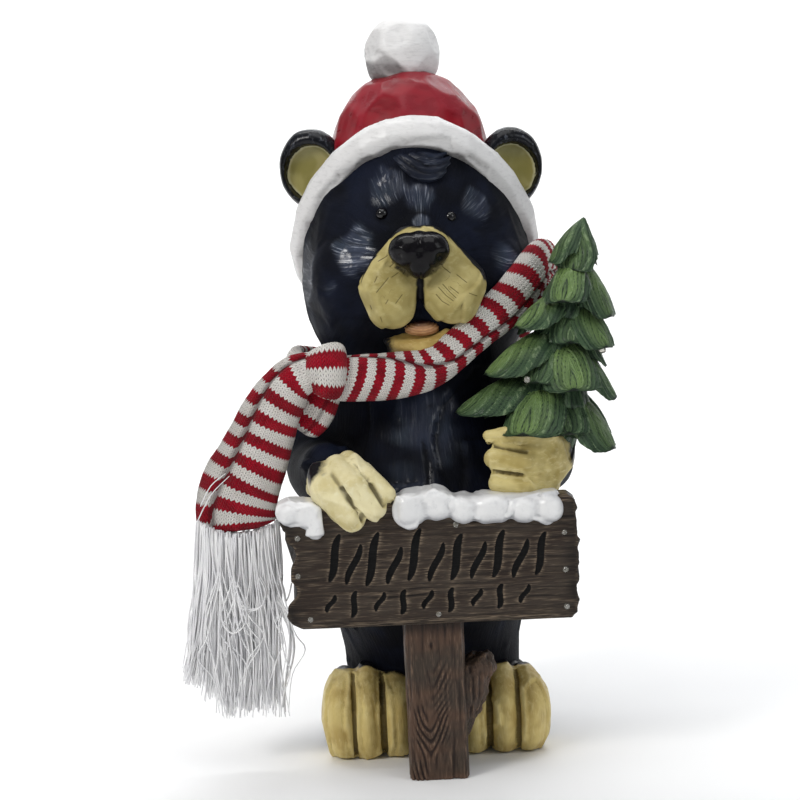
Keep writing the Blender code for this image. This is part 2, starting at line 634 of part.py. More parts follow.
def build():
    for old in list(bpy.data.objects):
        bpy.data.objects.remove(old)
    parts = bpy.context.scene.collection
    forms = collection("casting_forms")
    cuts = collection("casting_cuts")
    cloth = collection("scarf_forms")
    hollow = collection("scarf_clearance")
    resin = material("painted_resin", (0.012, 0.013, 0.02), 0.3)
    knit = material("striped_knit", (0.45, 0.03, 0.06), 0.95)
    yarn = material("white_yarn", (0.75, 0.75, 0.76), 0.9)
    clear = material("clear_bead", (0.85, 0.85, 0.82), 0.1)

    figure = stack("bear_figure", TORSO_ROWS, parts)
    figure.data.materials.append(resin)
    add_head(forms)
    add_muzzle(forms)
    add_hat(forms)
    add_ears(forms)
    add_arms(forms)
    add_sign_paw(forms)
    add_tree_paw(forms)
    add_feet(forms)
    add_tree(forms)
    add_plank(forms)
    add_snow(forms)
    add_post(forms)
    add_strokes(cuts)
    add_lamps(parts, forms, cuts, clear)
    for made in forms.objects:
        as_tool(made)
    mesh_data = bmesh.new()
    bmesh.ops.create_cube(mesh_data, size=FIGURE_HEIGHT)
    bmesh.ops.translate(mesh_data, vec=(0, 0, -FIGURE_HEIGHT / 2), verts=mesh_data.verts)
    as_tool(as_object("ground", mesh_data, cuts))
    boolean(figure, "UNION", forms)
    boolean(figure, "DIFFERENCE", cuts)
    tidy_facets(figure)

    scarf = add_wrap(parts)
    scarf.name = "knitted_scarf"
    scarf.data.materials.append(knit)
    pebble("knot", KNOT, cloth, fineness=2)
    tail = flat_tail("tail", TAIL, TAIL_WIDTH, TAIL_THICKNESS, cloth)
    cut_below(tail, TAIL_END[2] * UNIT)
    flat_tail("back_tail", BACK_TAIL, TAIL_WIDTH, TAIL_THICKNESS, cloth)
    for made in cloth.objects:
        as_tool(made)
    stack("torso_room", TORSO_ROWS, hollow, grow=CLOTH_CLEARANCE)
    stack("skull_room", HEAD_ROWS, hollow, centre_x=0.5, grow=CLOTH_CLEARANCE)
    for balls in (*JOWLS, CHIN):
        pebble("muzzle_room", balls, hollow, fineness=2, grow=CLOTH_CLEARANCE)
    skin("brim_room", brim_rings(CLOTH_CLEARANCE), hollow, sides=7, closed=True, start=0.25)
    for knots in (LEFT_ARM, RIGHT_ARM):
        limb("arm_room", knots, hollow, grow=CLOTH_CLEARANCE)
    add_tree(hollow, grow=CLOTH_CLEARANCE)
    for made in hollow.objects:
        as_tool(made)
    boolean(scarf, "UNION", cloth)
    boolean(scarf, "DIFFERENCE", hollow)
    tidy_facets(scarf)
    add_fringe(parts, yarn)


build()
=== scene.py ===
# The looks of the christmas bear statue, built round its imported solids
import math
import random

import bmesh
import bpy
import numpy as np
from mathutils import Euler, Matrix, Vector
from mathutils.bvhtree import BVHTree


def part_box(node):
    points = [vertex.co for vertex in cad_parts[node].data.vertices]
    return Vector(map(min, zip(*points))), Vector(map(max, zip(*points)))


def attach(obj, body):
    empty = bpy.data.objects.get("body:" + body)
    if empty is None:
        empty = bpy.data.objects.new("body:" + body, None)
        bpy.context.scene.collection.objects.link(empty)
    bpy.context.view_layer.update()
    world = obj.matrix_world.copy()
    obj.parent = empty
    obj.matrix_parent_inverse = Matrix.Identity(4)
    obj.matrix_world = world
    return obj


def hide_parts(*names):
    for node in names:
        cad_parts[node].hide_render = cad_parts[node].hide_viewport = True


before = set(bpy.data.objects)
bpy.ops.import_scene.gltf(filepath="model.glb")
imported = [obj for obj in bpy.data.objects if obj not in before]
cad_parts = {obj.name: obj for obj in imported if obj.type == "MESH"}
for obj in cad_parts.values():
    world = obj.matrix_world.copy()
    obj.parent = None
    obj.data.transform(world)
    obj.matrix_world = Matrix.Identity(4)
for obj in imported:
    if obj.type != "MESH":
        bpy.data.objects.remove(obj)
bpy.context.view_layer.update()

pomponTop = 530.2  # the whole height, in the script's units
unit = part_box("bear_figure")[1].z / pomponTop  # every place below is in units of about a millimetre


def at(x, y, z):
    return Vector((x, y, z)) * unit


def srgb(red, green, blue):
    made = []
    for value in (red, green, blue):
        share = value / 255
        made.append(share / 12.92 if share <= 0.04045 else ((share + 0.055) / 1.055) ** 2.4)
    return (*made, 1.0)


# a smooth curve through a few knots; whatever numbers a knot holds are carried along
def smoothRoute(knots, steps):
    knots = [np.array(knot, float) for knot in knots]
    last = len(knots) - 1
    route = []
    for span in range(last):
        a, b, c, d = [knots[min(max(span + offset, 0), last)] for offset in (-1, 0, 1, 2)]
        for step in range(steps):
            t = step / steps
            route.append(0.5 * (2 * b + (c - a) * t + (2 * a - 5 * b + 4 * c - d) * t * t
                                + (3 * b - a - 3 * c + d) * t ** 3))
    route.append(knots[-1])
    return route


# the distance along a row of points up to each of them
def lengthsAlong(points):
    return np.concatenate(([0], np.cumsum(np.linalg.norm(np.diff(points, axis=0), axis=1))))


def distances(points, place):
    return np.sqrt(((points - np.array(place)) ** 2).sum(axis=1))


# smooth noise from -1 to 1 at each point, with grains of the given size
def cloud(points, size, seed=0):
    scaled = points / np.asarray(size, float) + seed * 7.31
    cell = np.floor(scaled).astype(np.int64)
    share = scaled - cell
    share = share * share * (3 - 2 * share)
    total = np.zeros(len(points))
    for corner in np.ndindex(2, 2, 2):
        spot = cell + np.array(corner)
        # large odd numbers scatter the corners' values
        mixed = (spot[:, 0] * 73856093) ^ (spot[:, 1] * 19349663) ^ (spot[:, 2] * 83492791)
        mixed = (mixed ^ (mixed >> 13)) * 1274126177
        value = ((mixed ^ (mixed >> 16)) & 0xFFFF) / 32767.5 - 1
        total += value * np.prod(np.where(corner, share, 1 - share), axis=1)
    return total


# a smooth step from 0 at one value to 1 at another
def rise(value, low, high):
    share = np.clip((value - low) / (high - low), 0, 1)
    return share * share * (3 - 2 * share)


# shapes from bmesh operators

# a ring's matrix: where it stands and its two half-axes, all in units
def section(place, across, up):
    across = Vector(across) * unit
    up = Vector(up) * unit
    placed = Matrix((across, up, across.cross(up).normalized() * unit)).transposed().to_4x4()
    placed.translation = Vector(place) * unit
    return placed


# a skin drawn through rings, one extrusion after another
def loft(bm, sections, segments):
    made = bmesh.ops.create_circle(bm, segments=segments, radius=1, matrix=sections[0])["verts"]
    edges = [edge for edge in bm.edges if edge.verts[0] in made and edge.verts[1] in made]
    firstEdges = edges
    last = sections[0]
    for placed in sections[1:]:
        grown = bmesh.ops.extrude_edge_only(bm, edges=edges)["geom"]
        edges = [part for part in grown if isinstance(part, bmesh.types.BMEdge)]
        fresh = [part for part in grown if isinstance(part, bmesh.types.BMVert)]
        bmesh.ops.transform(bm, matrix=placed @ last.inverted(), verts=fresh)
        last = placed
    bmesh.ops.contextual_create(bm, geom=firstEdges)
    bmesh.ops.contextual_create(bm, geom=edges)


# level ovals one above another: rows of height, centre y, half-width and half-depth
def stack(bm, rows, centreX=0.0, steps=3, segments=40):
    sections = []
    for height, centreY, halfWidth, halfDepth in smoothRoute(rows, steps):
        sections.append(section((centreX, centreY, height), (halfWidth, 0, 0), (0, halfDepth, 0)))
    loft(bm, sections, segments)


def ball(bm, place, radii, turn=(0, 0, 0), detail=3):
    turned = Euler([math.radians(angle) for angle in turn]).to_matrix().to_4x4()
    placed = Matrix.Translation(at(*place)) @ turned @ Matrix.Diagonal((*(Vector(radii) * unit), 1))
    bmesh.ops.create_icosphere(bm, subdivisions=detail, radius=1, matrix=placed)


# the tight skin round a few balls, each x, y, z and radius
def pebble(bm, balls, detail=3):
    lump = bmesh.new()
    for x, y, z, radius in balls:
        bmesh.ops.create_icosphere(lump, subdivisions=detail, radius=radius * unit,
                                   matrix=Matrix.Translation(at(x, y, z)))
    bmesh.ops.delete(lump, geom=lump.edges[:], context="EDGES_FACES")
    bmesh.ops.convex_hull(lump, input=lump.verts)
    bmesh.ops.delete(lump, geom=[vert for vert in lump.verts if not vert.link_faces], context="VERTS")
    hull = bpy.data.meshes.new("hull")
    lump.to_mesh(hull)
    lump.free()
    bm.from_mesh(hull)
    bpy.data.meshes.remove(hull)


# a round limb along a smooth route, with a ball on each end
def limb(bm, knots, segments=20, steps=5):
    route = smoothRoute(knots, steps)
    last = len(route) - 1
    sections = []
    for index, row in enumerate(route):
        along = Vector(route[min(index + 1, last)][:3] - route[max(index - 1, 0)][:3]).normalized()
        upright = abs(along.z) > 0.99
        side = (along.orthogonal() if upright else along.cross((0, 0, 1))).normalized()
        sections.append(section(row[:3], side * row[3], side.cross(along) * row[3]))
    loft(bm, sections, segments)
    for row in (route[0], route[-1]):
        ball(bm, row[:3], [row[3] * 0.99] * 3)


# a grid bent over a shape: place takes two rows of shares from 0 to 1, and gives points in units
# and named values that the bmesh's float layers keep
def bentGrid(bm, across, along, place):
    made = bmesh.ops.create_grid(bm, x_segments=across, y_segments=along, size=1)["verts"]
    shares = np.array([vert.co[:2] for vert in made]) / 2 + 0.5
    points, named = place(shares[:, 0], shares[:, 1])
    for name, values in named.items():
        layer = bm.verts.layers.float[name]
        for vert, value in zip(made, values.tolist()):
            vert[layer] = value
    for vert, point in zip(made, (points * unit).tolist()):
        vert.co = point
    bmesh.ops.remove_doubles(bm, verts=made, dist=1e-7)


def plainObject(bm, name):
    bmesh.ops.recalc_face_normals(bm, faces=bm.faces)
    mesh = bpy.data.meshes.new(name)
    bm.to_mesh(mesh)
    bm.free()
    piece = bpy.data.objects.new(name, mesh)
    bpy.context.scene.collection.objects.link(piece)
    mesh.shade_smooth()
    return piece


# the modifiers become part of the mesh
def applied(piece):
    shaped = bpy.data.meshes.new_from_object(piece.evaluated_get(bpy.context.evaluated_depsgraph_get()))
    piece.modifiers.clear()
    piece.data = shaped


# one even closed skin round everything in the bmesh
def solid(bm, name, voxel, smoothing=2):
    piece = plainObject(bm, name)
    skin = piece.modifiers.new("skin", "REMESH")
    skin.mode = "VOXEL"
    skin.voxel_size = voxel * unit
    skin.use_smooth_shade = True
    piece.modifiers.new("soft", "SMOOTH").iterations = smoothing
    applied(piece)
    return piece


# sculpting: every vertex is read, moved and written back in units

def readPoints(piece):
    flat = np.empty(len(piece.data.vertices) * 3, np.float32)
    piece.data.vertices.foreach_get("co", flat)
    return flat.reshape(-1, 3).astype(float) / unit


def writePoints(piece, points):
    piece.data.vertices.foreach_set("co", (points * unit).astype(np.float32).ravel())
    piece.data.update()


def normalsOf(piece):
    flat = np.empty(len(piece.data.vertices) * 3, np.float32)
    piece.data.vertex_normals.foreach_get("vector", flat)
    return flat.reshape(-1, 3).astype(float)


# every vertex moves out by its amount
def push(piece, amounts):
    writePoints(piece, readPoints(piece) + normalsOf(piece) * amounts[:, None])


# nothing reaches below a height
def standOn(piece, lowest):
    points = readPoints(piece)
    points[:, 2] = np.maximum(points[:, 2], lowest)
    writePoints(piece, points)


# each vertex takes the mean of its neighbours' values, some rounds over
def evened(piece, values, rounds):
    edges = np.empty(len(piece.data.edges) * 2, np.int32)
    piece.data.edges.foreach_get("vertices", edges)
    one, other = edges[0::2], edges[1::2]
    count = len(piece.data.vertices)
    degree = np.maximum(np.bincount(one, minlength=count) + np.bincount(other, minlength=count), 1)
    columns = [values] if values.ndim == 1 else list(values.T)
    for step in range(rounds):
        for index, column in enumerate(columns):
            total = np.bincount(one, weights=column[other], minlength=count)
            total += np.bincount(other, weights=column[one], minlength=count)
            columns[index] = total / degree
    return columns[0] if values.ndim == 1 else np.stack(columns, axis=1)


# flat knife cuts: planes touching the surface at scattered places shave it down
def chisel(piece, spacing, depth, seed, soften=1, stretch=(1, 1, 1)):
    points = readPoints(piece)
    normals = normalsOf(piece)
    scaled = points / np.array(stretch)
    order = np.random.default_rng(seed).permutation(len(points))
    alive = np.ones(len(points), bool)
    seeds = []
    for index in order:
        if alive[index]:
            seeds.append(index)
            alive &= ((scaled - scaled[index]) ** 2).sum(axis=1) > spacing * spacing
    base = evened(piece, points, 3)
    cut = np.full(len(points), depth * 1.0)
    owner = np.zeros(len(points), int)
    for number, index in enumerate(seeds):
        near = ((scaled - scaled[index]) ** 2).sum(axis=1) < (spacing * 2.1) ** 2
        facing = normals[near] @ normals[index]
        lift = ((base[index] - points[near]) @ normals[index]) / np.maximum(facing, 0.25)
        lift = np.where(facing > 0.25, lift, depth)
        lower = np.flatnonzero(near)[lift < cut[near]]
        owner[lower] = number
        cut[near] = np.minimum(cut[near], lift)
    cut = np.clip(cut, -depth, depth) - depth * 0.55
    writePoints(piece, evened(piece, points + normals * cut[:, None], soften))
    # painted light: each flat gets a random lighter or darker tone, standing in for how differently the
    # flats catch the light
    paintedFacetShades = np.random.default_rng(seed).uniform(0, 1, len(seeds))
    paintLayer(piece, "tone", evened(piece, paintedFacetShades[owner], 1))


def paintLayer(piece, name, values):
    layer = piece.data.attributes.new(name, "FLOAT_VECTOR" if values.ndim > 1 else "FLOAT", "POINT")
    layer.data.foreach_set("vector" if values.ndim > 1 else "value", values.astype(np.float32).ravel())


# how far each place lies below or above its surroundings, for paint that settles in hollows;
# scored grooves add to the hollows
def reliefLayers(piece, rounds, depth, ridgeDepth=None, scored=0):
    points = readPoints(piece)
    sunk = ((evened(piece, points, rounds) - points) * normalsOf(piece)).sum(axis=1)
    paintLayer(piece, "hollow", np.clip(sunk / depth + scored, 0, 1))
    paintLayer(piece, "ridge", np.clip(-sunk / (ridgeDepth or depth), 0, 1))


# one skin round everything in the bmesh, then the knife cuts that its plan gives
def carved(bm, name, plan, smoothing, seed, soften=1):
    piece = solid(bm, name, plan["voxel"], smoothing)
    chisel(piece, plan["facet"], plan["facetDepth"], seed, soften)
    return piece


def surfaceTree(*pieces):
    bm = bmesh.new()
    for piece in pieces:
        bm.from_mesh(piece.data)
    tree = BVHTree.FromBMesh(bm)
    bm.free()
    return tree


# distance in units from every vertex to another piece's skin, up to a reach
def gapTo(piece, tree, reach):
    gaps = np.full(len(piece.data.vertices), float(reach))
    for index, point in enumerate(readPoints(piece)):
        found = tree.find_nearest(Vector(point) * unit, reach * unit)
        if found[0] is not None:
            gaps[index] = found[3] / unit
    return gaps


# shader nodes, each helper giving back the socket to use next

def node(tree, kind, **settings):
    made = tree.nodes.new(kind)
    for key, value in settings.items():
        setattr(made, key, value)
    return made


# a value is a socket, a number or colour, or the name of one of the piece's own layers
def feed(tree, socket, value):
    if isinstance(value, str):
        value = layerOf(tree, value)
    if isinstance(value, bpy.types.NodeSocket):
        tree.links.new(value, socket)
    else:
        socket.default_value = value


def material(name, roughness, specular=0.5, coat=0.0, coatRoughness=0.1):
    made = bpy.data.materials.new(name)
    made.use_nodes = True
    shader = made.node_tree.nodes["Principled BSDF"]
    shader.inputs["Roughness"].default_value = roughness
    shader.inputs["Specular IOR Level"].default_value = specular
    shader.inputs["Coat Weight"].default_value = coat
    shader.inputs["Coat Roughness"].default_value = coatRoughness
    return made, made.node_tree, shader


def layerOf(tree, name, output="Fac"):
    return node(tree, "ShaderNodeAttribute", attribute_name=name).outputs[output]


# noise with a scale in grains for each unit, on each axis; it lies on the piece's own place, or
# follows a flow that is in units already
def grains(tree, scale, detail=2.0, roughness=0.55, distortion=0.0, flow=None):
    place = node(tree, "ShaderNodeTexCoord").outputs["Object"] if flow is None else flow
    factor = 1 / unit if flow is None else 1
    mapped = node(tree, "ShaderNodeMapping")
    mapped.inputs["Scale"].default_value = [value * factor for value in np.broadcast_to(scale, 3)]
    feed(tree, mapped.inputs["Vector"], place)
    noise = node(tree, "ShaderNodeTexNoise")
    noise.inputs["Scale"].default_value = 1
    noise.inputs["Detail"].default_value = detail
    noise.inputs["Roughness"].default_value = roughness
    noise.inputs["Distortion"].default_value = distortion
    feed(tree, noise.inputs["Vector"], mapped.outputs["Vector"])
    return noise.outputs["Fac"]


def between(tree, value, low, high, outLow=0.0, outHigh=1.0):
    made = node(tree, "ShaderNodeMapRange", interpolation_type="SMOOTHSTEP")
    for socket, amount in zip(list(made.inputs)[:5], (value, low, high, outLow, outHigh)):
        feed(tree, socket, amount)
    return made.outputs["Result"]


def reckon(tree, operation, first, second=0.0, third=0.0):
    made = node(tree, "ShaderNodeMath", operation=operation)
    for socket, amount in zip(made.inputs, (first, second, third)):
        feed(tree, socket, amount)
    return made.outputs["Value"]


def times(tree, first, second):
    return reckon(tree, "MULTIPLY", first, second)


def mixColour(tree, share, first, second):
    made = node(tree, "ShaderNodeMix", data_type="RGBA")
    for index, amount in ((0, share), (6, first), (7, second)):
        feed(tree, made.inputs[index], amount)
    return made.outputs[2]


# coats of paint over a first colour: where each lies, the two values it rises between if its place
# isn't a share already, how strong it is and its colour
def coats(tree, colour, *layers):
    for share, *span, strength, tone in layers:
        if span:
            share = between(tree, share, *span)
        if strength != 1:
            share = times(tree, share, strength)
        colour = mixColour(tree, share, colour, tone)
    return colour


# the colour, and fine relief from a height
def coatWith(tree, shader, colour, height, depth, strength):
    feed(tree, shader.inputs["Base Color"], colour)
    relief = node(tree, "ShaderNodeBump")
    relief.inputs["Strength"].default_value = strength
    relief.inputs["Distance"].default_value = depth * unit
    feed(tree, relief.inputs["Height"], height)
    feed(tree, shader.inputs["Normal"], relief.outputs["Normal"])


# the carved pieces are thinned last, mostly where they are flat
thinning = {"above": 3000, "share": 0.58}


def finishPiece(piece, look, slot="painted_resin", cadNode="bear_figure"):
    if slot == "painted_resin" and len(piece.data.polygons) > thinning["above"]:
        piece.modifiers.new("thin", "DECIMATE").ratio = thinning["share"]
        applied(piece)
    piece.data.materials.clear()
    piece.data.materials.append(look)
    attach(piece, "root")
    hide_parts(cadNode)


random.seed(11)
scene = bpy.context.scene


# The stage: pale floor and backdrop, soft lights and the camera
stageSet = {
    "floorDepth": 5.0, "floorWidth": 9.0, "wallHeight": 5.0, "wallBehind": 2.6, "bend": 1.2,
    "bendSteps": 14,
    "grey": (0.91, 0.91, 0.91, 1), "white": (0.94, 0.94, 0.935, 1),
    "sky": (0.93, 0.95, 1.0, 1), "skyStrength": 0.26,
    "camera": (-0.016, -1.75, 0.50), "pitch": 81.9, "roll": -2.6, "lens": 107.3,
}
lamps = (  # place, where it looks, size, watts, colour
    ((-1.5, -1.5, 1.75), (0, 0, 0.27), (0.7, 0.7), 23, (1.0, 0.98, 0.95)),
    ((1.7, -1.3, 1.5), (0, 0, 0.27), (1.1, 1.3), 10, (0.95, 0.98, 1.0)),
    ((0.0, -0.5, 2.3), (0, 0, 0.27), (1.4, 1.4), 13, (1.0, 1.0, 1.0)),
    ((0.3, 1.8, 1.9), (0, 0, 0.27), (1.6, 1.0), 9, (0.93, 0.97, 1.0)),
    ((0.0, 0.9, 2.7), (0, 2.6, 0.9), (3.0, 1.0), 60, (1.0, 1.0, 1.0)),
)


def addStage():
    bm = bmesh.new()
    bend, steps = stageSet["bend"], stageSet["bendSteps"]
    start = stageSet["wallBehind"] - bend
    profile = [(-stageSet["floorDepth"], 0.0)]
    for step in range(steps + 1):
        angle = math.pi / 2 * step / steps
        profile.append((start + bend * math.sin(angle), bend * (1 - math.cos(angle))))
    profile.append((stageSet["wallBehind"], stageSet["wallHeight"]))
    row = [bm.verts.new((-stageSet["floorWidth"] / 2, y, z)) for y, z in profile]
    edges = [bm.edges.new(pair) for pair in zip(row, row[1:])]
    grown = bmesh.ops.extrude_edge_only(bm, edges=edges)["geom"]
    fresh = [part for part in grown if isinstance(part, bmesh.types.BMVert)]
    bmesh.ops.translate(bm, vec=(stageSet["floorWidth"], 0, 0), verts=fresh)
    floor = plainObject(bm, "floor")
    look, tree, shader = material("pale_stage", 0.9, 0.2)
    tone = between(tree, grains(tree, 0.004), 0.3, 0.7)
    feed(tree, shader.inputs["Base Color"], mixColour(tree, tone, stageSet["grey"], stageSet["white"]))
    floor.data.materials.append(look)


def addLights():
    for index, (place, target, size, watts, colour) in enumerate(lamps):
        data = bpy.data.lights.new(f"softbox_{index}", "AREA")
        data.shape = "RECTANGLE"
        data.size, data.size_y = size
        data.energy = watts
        data.color = colour
        box = bpy.data.objects.new(f"softbox_{index}", data)
        box.location = place
        box.rotation_euler = (Vector(target) - Vector(place)).to_track_quat("-Z", "Y").to_euler()
        scene.collection.objects.link(box)
    world = bpy.data.worlds.new("studio")
    scene.world = world
    world.use_nodes = True
    sky = world.node_tree.nodes["Background"]
    sky.inputs["Color"].default_value = stageSet["sky"]
    sky.inputs["Strength"].default_value = stageSet["skyStrength"]
    scene.view_settings.view_transform = "Standard"


def addCamera():
    data = bpy.data.cameras.new("camera")
    data.lens = stageSet["lens"]
    data.sensor_width = 36
    data.clip_start = 0.05
    camera = bpy.data.objects.new("camera", data)
    camera.matrix_world = (Matrix.Translation(stageSet["camera"])
                           @ Matrix.Rotation(math.radians(stageSet["pitch"]), 4, "X")
                           @ Matrix.Rotation(math.radians(stageSet["roll"]), 4, "Z"))
    scene.collection.objects.link(camera)
    scene.camera = camera


addStage()
addLights()
addCamera()
print("stage, lights and camera")


# The fur: head, body and arms share one gloss black paint, drawn with brush strokes
fur = {
    "deep": srgb(7, 8, 11), "base": srgb(12, 14, 21), "blue": srgb(21, 26, 41),
    "teal": srgb(36, 50, 56),
    "pale": srgb(182, 190, 206), "sheen": srgb(64, 71, 90), "strokeWidth": 1.5, "strokeLength": 17,
}
head = {
    "rows": ((266, -10, 50, 52), (278, -10, 60, 62), (290, -10, 69, 71), (308, -10, 78, 80),
             (328, -10, 83, 84.5),
             (348, -10, 84, 85.5), (368, -9, 82, 83.5), (388, -9, 77, 78.5), (406, -9, 70, 73.5),
             (424, -9, 60, 63), (442, -14, 46, 54)),
    "bridge": ((-10, -80, 372, 12), (16, -80, 372, 12), (3, -86, 378, 13), (3, -70, 392, 14)),
    "centreX": 0.5, "voxel": 1.35, "facet": 23, "facetDepth": 0.8,
    "noseAxis": (3, 365),  # the strokes run out from here: x and z
    "cheeks": (((-42, -44, 348), (36, 40, 42)), ((46, -42, 346), (34, 40, 42))),
    # places where brushed strokes catch the light and carry painted highlights: place, radius and
    # strength
    "patches": (((-43, -78, 368), 21, 0.9), ((-19, -76, 414), 18, 0.5), ((4, -80, 404), 13, 0.55),
                ((60, -62, 352), 20, 0.75), ((48, -72, 400), 16, 0.45), ((-78, -34, 350), 26, 0.25),
                ((4, -92, 389), 9, 0.6), ((-56, -66, 343), 14, 0.5), ((30, -80, 424), 14, 0.4),
                ((4, 60, 330), 44, 0.3)),
    "lockVoxel": 0.75, "swirl": (12, 450),  # the locks bend round this place: x and z
    "forelock": (((-11, -67, 432, 2.0), (-3, -73, 424, 3.0), (7, -75, 418, 3.2), (16, -74, 418, 2.8),
                  (23, -70, 422, 1.4)),
                 ((-8, -66, 434, 2.0), (1, -71, 428, 3.0), (9, -73.5, 422.5, 3.2), (18, -72, 423, 2.8),
                  (26, -67, 427, 1.3)),
                 ((-3, -65, 435, 2.0), (6, -69.5, 431, 3.0), (12, -71, 427.5, 3.0), (20, -70, 428, 2.4),
                  (27, -65, 431, 1.2)),
                 ((3, -65, 435, 2.0), (10, -68, 433, 2.8), (17, -67.5, 432, 2.4), (24, -64, 434, 1.4))),
}
body = {
    "rows": ((0.3, -8, 60, 50), (14, -7, 64, 54), (28, -6, 67, 57), (62, -7, 68, 62), (92, -13, 70, 76),
             (125, -19, 79, 92), (158, -20, 85, 99), (190, -17, 85, 95), (222, -12, 81, 87),
             (252, -8, 77, 79),
             (278, -5, 73, 72), (302, -4, 60, 60), (320, -4, 42, 42)),
    "leftArm": ((-58, -6, 268, 29), (-74, -6, 244, 30), (-76, -28, 212, 29), (-71, -62, 209, 28),
                (-71, -94, 220, 20)),
    "rightArm": ((58, -6, 268, 29), (76, -8, 244, 30), (86, -30, 208, 26), (84, -64, 212, 24),
                 (82, -84, 219, 23)),
    "voxel": 2.0, "facet": 28, "facetDepth": 2.0,
    "legGroove": (7.0, 4.5),  # depth and half-width between the legs
    # places where the strokes are glossier and carry painted highlights: place, radius and strength
    "patches": (((4, -98, 248), 36, 0.6), ((-10, -100, 206), 22, 0.2), ((-84, -30, 262), 24, 0.3),
                ((-62, -60, 40), 26, 0.2), ((84, -40, 262), 24, 0.3), ((0, 90, 200), 60, 0.3),
                ((-60, 60, 120), 40, 0.3), ((66, 58, 250), 34, 0.3)),
}


def patchMask(points, patches, ragged, seed):
    mask = np.zeros(len(points))
    rough = ragged * cloud(points, 9, seed)
    for place, radius, strength in patches:
        away = distances(points, place)
        mask = np.maximum(mask, strength * rise(1 - away / radius + rough, 0.05, 0.5))
    return mask


# brush strokes: long ridges along the flow, deep in the patches and faint elsewhere
def brushStrokes(piece, flow, patches, depth, faint, dryBrushHighlight, seed):
    points = readPoints(piece)
    mask = patchMask(points, patches, 0.22, seed)
    wide = np.array((3.0, 3.0, 22.0))
    strokes = cloud(flow, wide, seed) + 0.5 * cloud(flow, wide * 0.6, seed + 1)
    push(piece, strokes * depth * (faint + (1 - faint) * mask))
    paintLayer(piece, "patch", mask)
    paintLayer(piece, "flow", flow)
    # pale dry-brushed streaks in the patches: painted highlights
    paintLayer(piece, "stroke", dryBrushHighlight * np.clip(strokes * 0.5 + 0.5, 0, 1))
    reliefLayers(piece, 6, 0.5)


def headFlow(points):
    x0, z0 = head["noseAxis"]
    angle = np.arctan2(points[:, 2] - z0, points[:, 0] - x0)
    away = np.hypot(points[:, 2] - z0, points[:, 0] - x0) + (points[:, 1] + 93) * 0.7
    angle = angle + 0.10 * cloud(points, 30, 5)
    return np.stack((62 * np.cos(angle), 62 * np.sin(angle), away), axis=1)


def bodyFlow(points):
    angle = np.arctan2(points[:, 1] + 10, points[:, 0]) + 0.05 * cloud(points, 34, 6)
    return np.stack((82 * np.cos(angle), 82 * np.sin(angle), points[:, 2]), axis=1)


def furLook():
    look, tree, shader = material("black_fur_paint", 0.5, 0.07, 0.0, 0.16)
    flow = layerOf(tree, "flow", "Vector")
    patch = layerOf(tree, "patch")
    width = 1 / fur["strokeWidth"]
    long = 1 / fur["strokeLength"]
    strokes = grains(tree, (width, width, long), 3.0, 0.6, 0.3, flow)
    fine = grains(tree, (width * 2.4, width * 2.4, long * 2), 2.0, 0.5, 0.0, flow)
    broad = grains(tree, 0.022)
    teal = between(tree, grains(tree, (0.035, 0.035, 0.03), 1.0), 0.45, 0.65, 0, 0.9)
    shine = times(tree, patch, between(tree, broad, 0.35, 0.6, 0.4, 0.95))
    dryBrushHighlight = times(tree, times(tree, between(tree, strokes, 0.5, 0.7), patch), "stroke")
    # painted highlight: in the patches a teal tint, a painted sheen and pale dry-brushed streaks
    colour = coats(tree, fur["base"], (broad, 0.4, 0.7, 1, fur["blue"]),
                   (times(tree, teal, patch), 1, fur["teal"]), (shine, 1, fur["sheen"]),
                   (dryBrushHighlight, 0.85, fur["pale"]), ("hollow", 0.8, fur["deep"]))
    feed(tree, shader.inputs["Roughness"], between(tree, patch, 0.0, 0.7, 0.62, 0.38))
    gloss = times(tree, patch, between(tree, strokes, 0.35, 0.6, 0.2, 0.95))
    feed(tree, shader.inputs["Coat Weight"], gloss)
    # the strokes stand out most in the patches of painted highlight
    depth = reckon(tree, "MULTIPLY_ADD", patch, 0.6, 0.38)
    height = times(tree, reckon(tree, "MULTIPLY_ADD", fine, 0.35, strokes), depth)
    coatWith(tree, shader, colour, height, 1.6, 0.8)
    return look


def addHead(look):
    bm = bmesh.new()
    stack(bm, head["rows"], head["centreX"], steps=4)
    for place, radii in head["cheeks"]:
        ball(bm, place, radii)
    pebble(bm, head["bridge"])
    piece = carved(bm, "bear_head", head, smoothing=14, seed=3, soften=2)
    points = readPoints(piece)
    sockets = np.zeros(len(points))
    for place in eyes["places"]:
        sockets += np.exp(-((points - np.array(place)) ** 2).sum(axis=1) / eyes["socketSpread"])
    push(piece, -eyes["socketDepth"] * sockets)
    flow = headFlow(readPoints(piece))
    brushStrokes(piece, flow, head["patches"], depth=0.55, faint=0.35, dryBrushHighlight=1.0, seed=8)
    finishPiece(piece, look)
    return piece


# the tuft under the brim: locks swept to one side, one below another
def addForelock(look):
    bm = bmesh.new()
    for knots in head["forelock"]:
        limb(bm, knots, 14, 6)
    piece = solid(bm, "forelock", head["lockVoxel"])
    points = readPoints(piece)
    swirlX, swirlZ = head["swirl"]
    dx, dz = points[:, 0] - swirlX, points[:, 2] - swirlZ
    flow = np.stack((np.hypot(dz, dx), points[:, 1] * 0.3, np.arctan2(dz, dx) * 24), axis=1)
    strokes = cloud(flow, (1.5, 6, 22), 3)
    push(piece, 0.35 * strokes)
    # the patch layer makes the locks glossy and carries painted highlight streaks
    paintLayer(piece, "patch", 0.2 + 0.8 * rise(cloud(flow, (3, 9, 40), 5), 0.1, 0.5))
    paintLayer(piece, "flow", flow)
    paintLayer(piece, "stroke", np.clip(strokes * 0.6 + 0.4, 0, 1))
    reliefLayers(piece, 8, 0.5)
    finishPiece(piece, look)


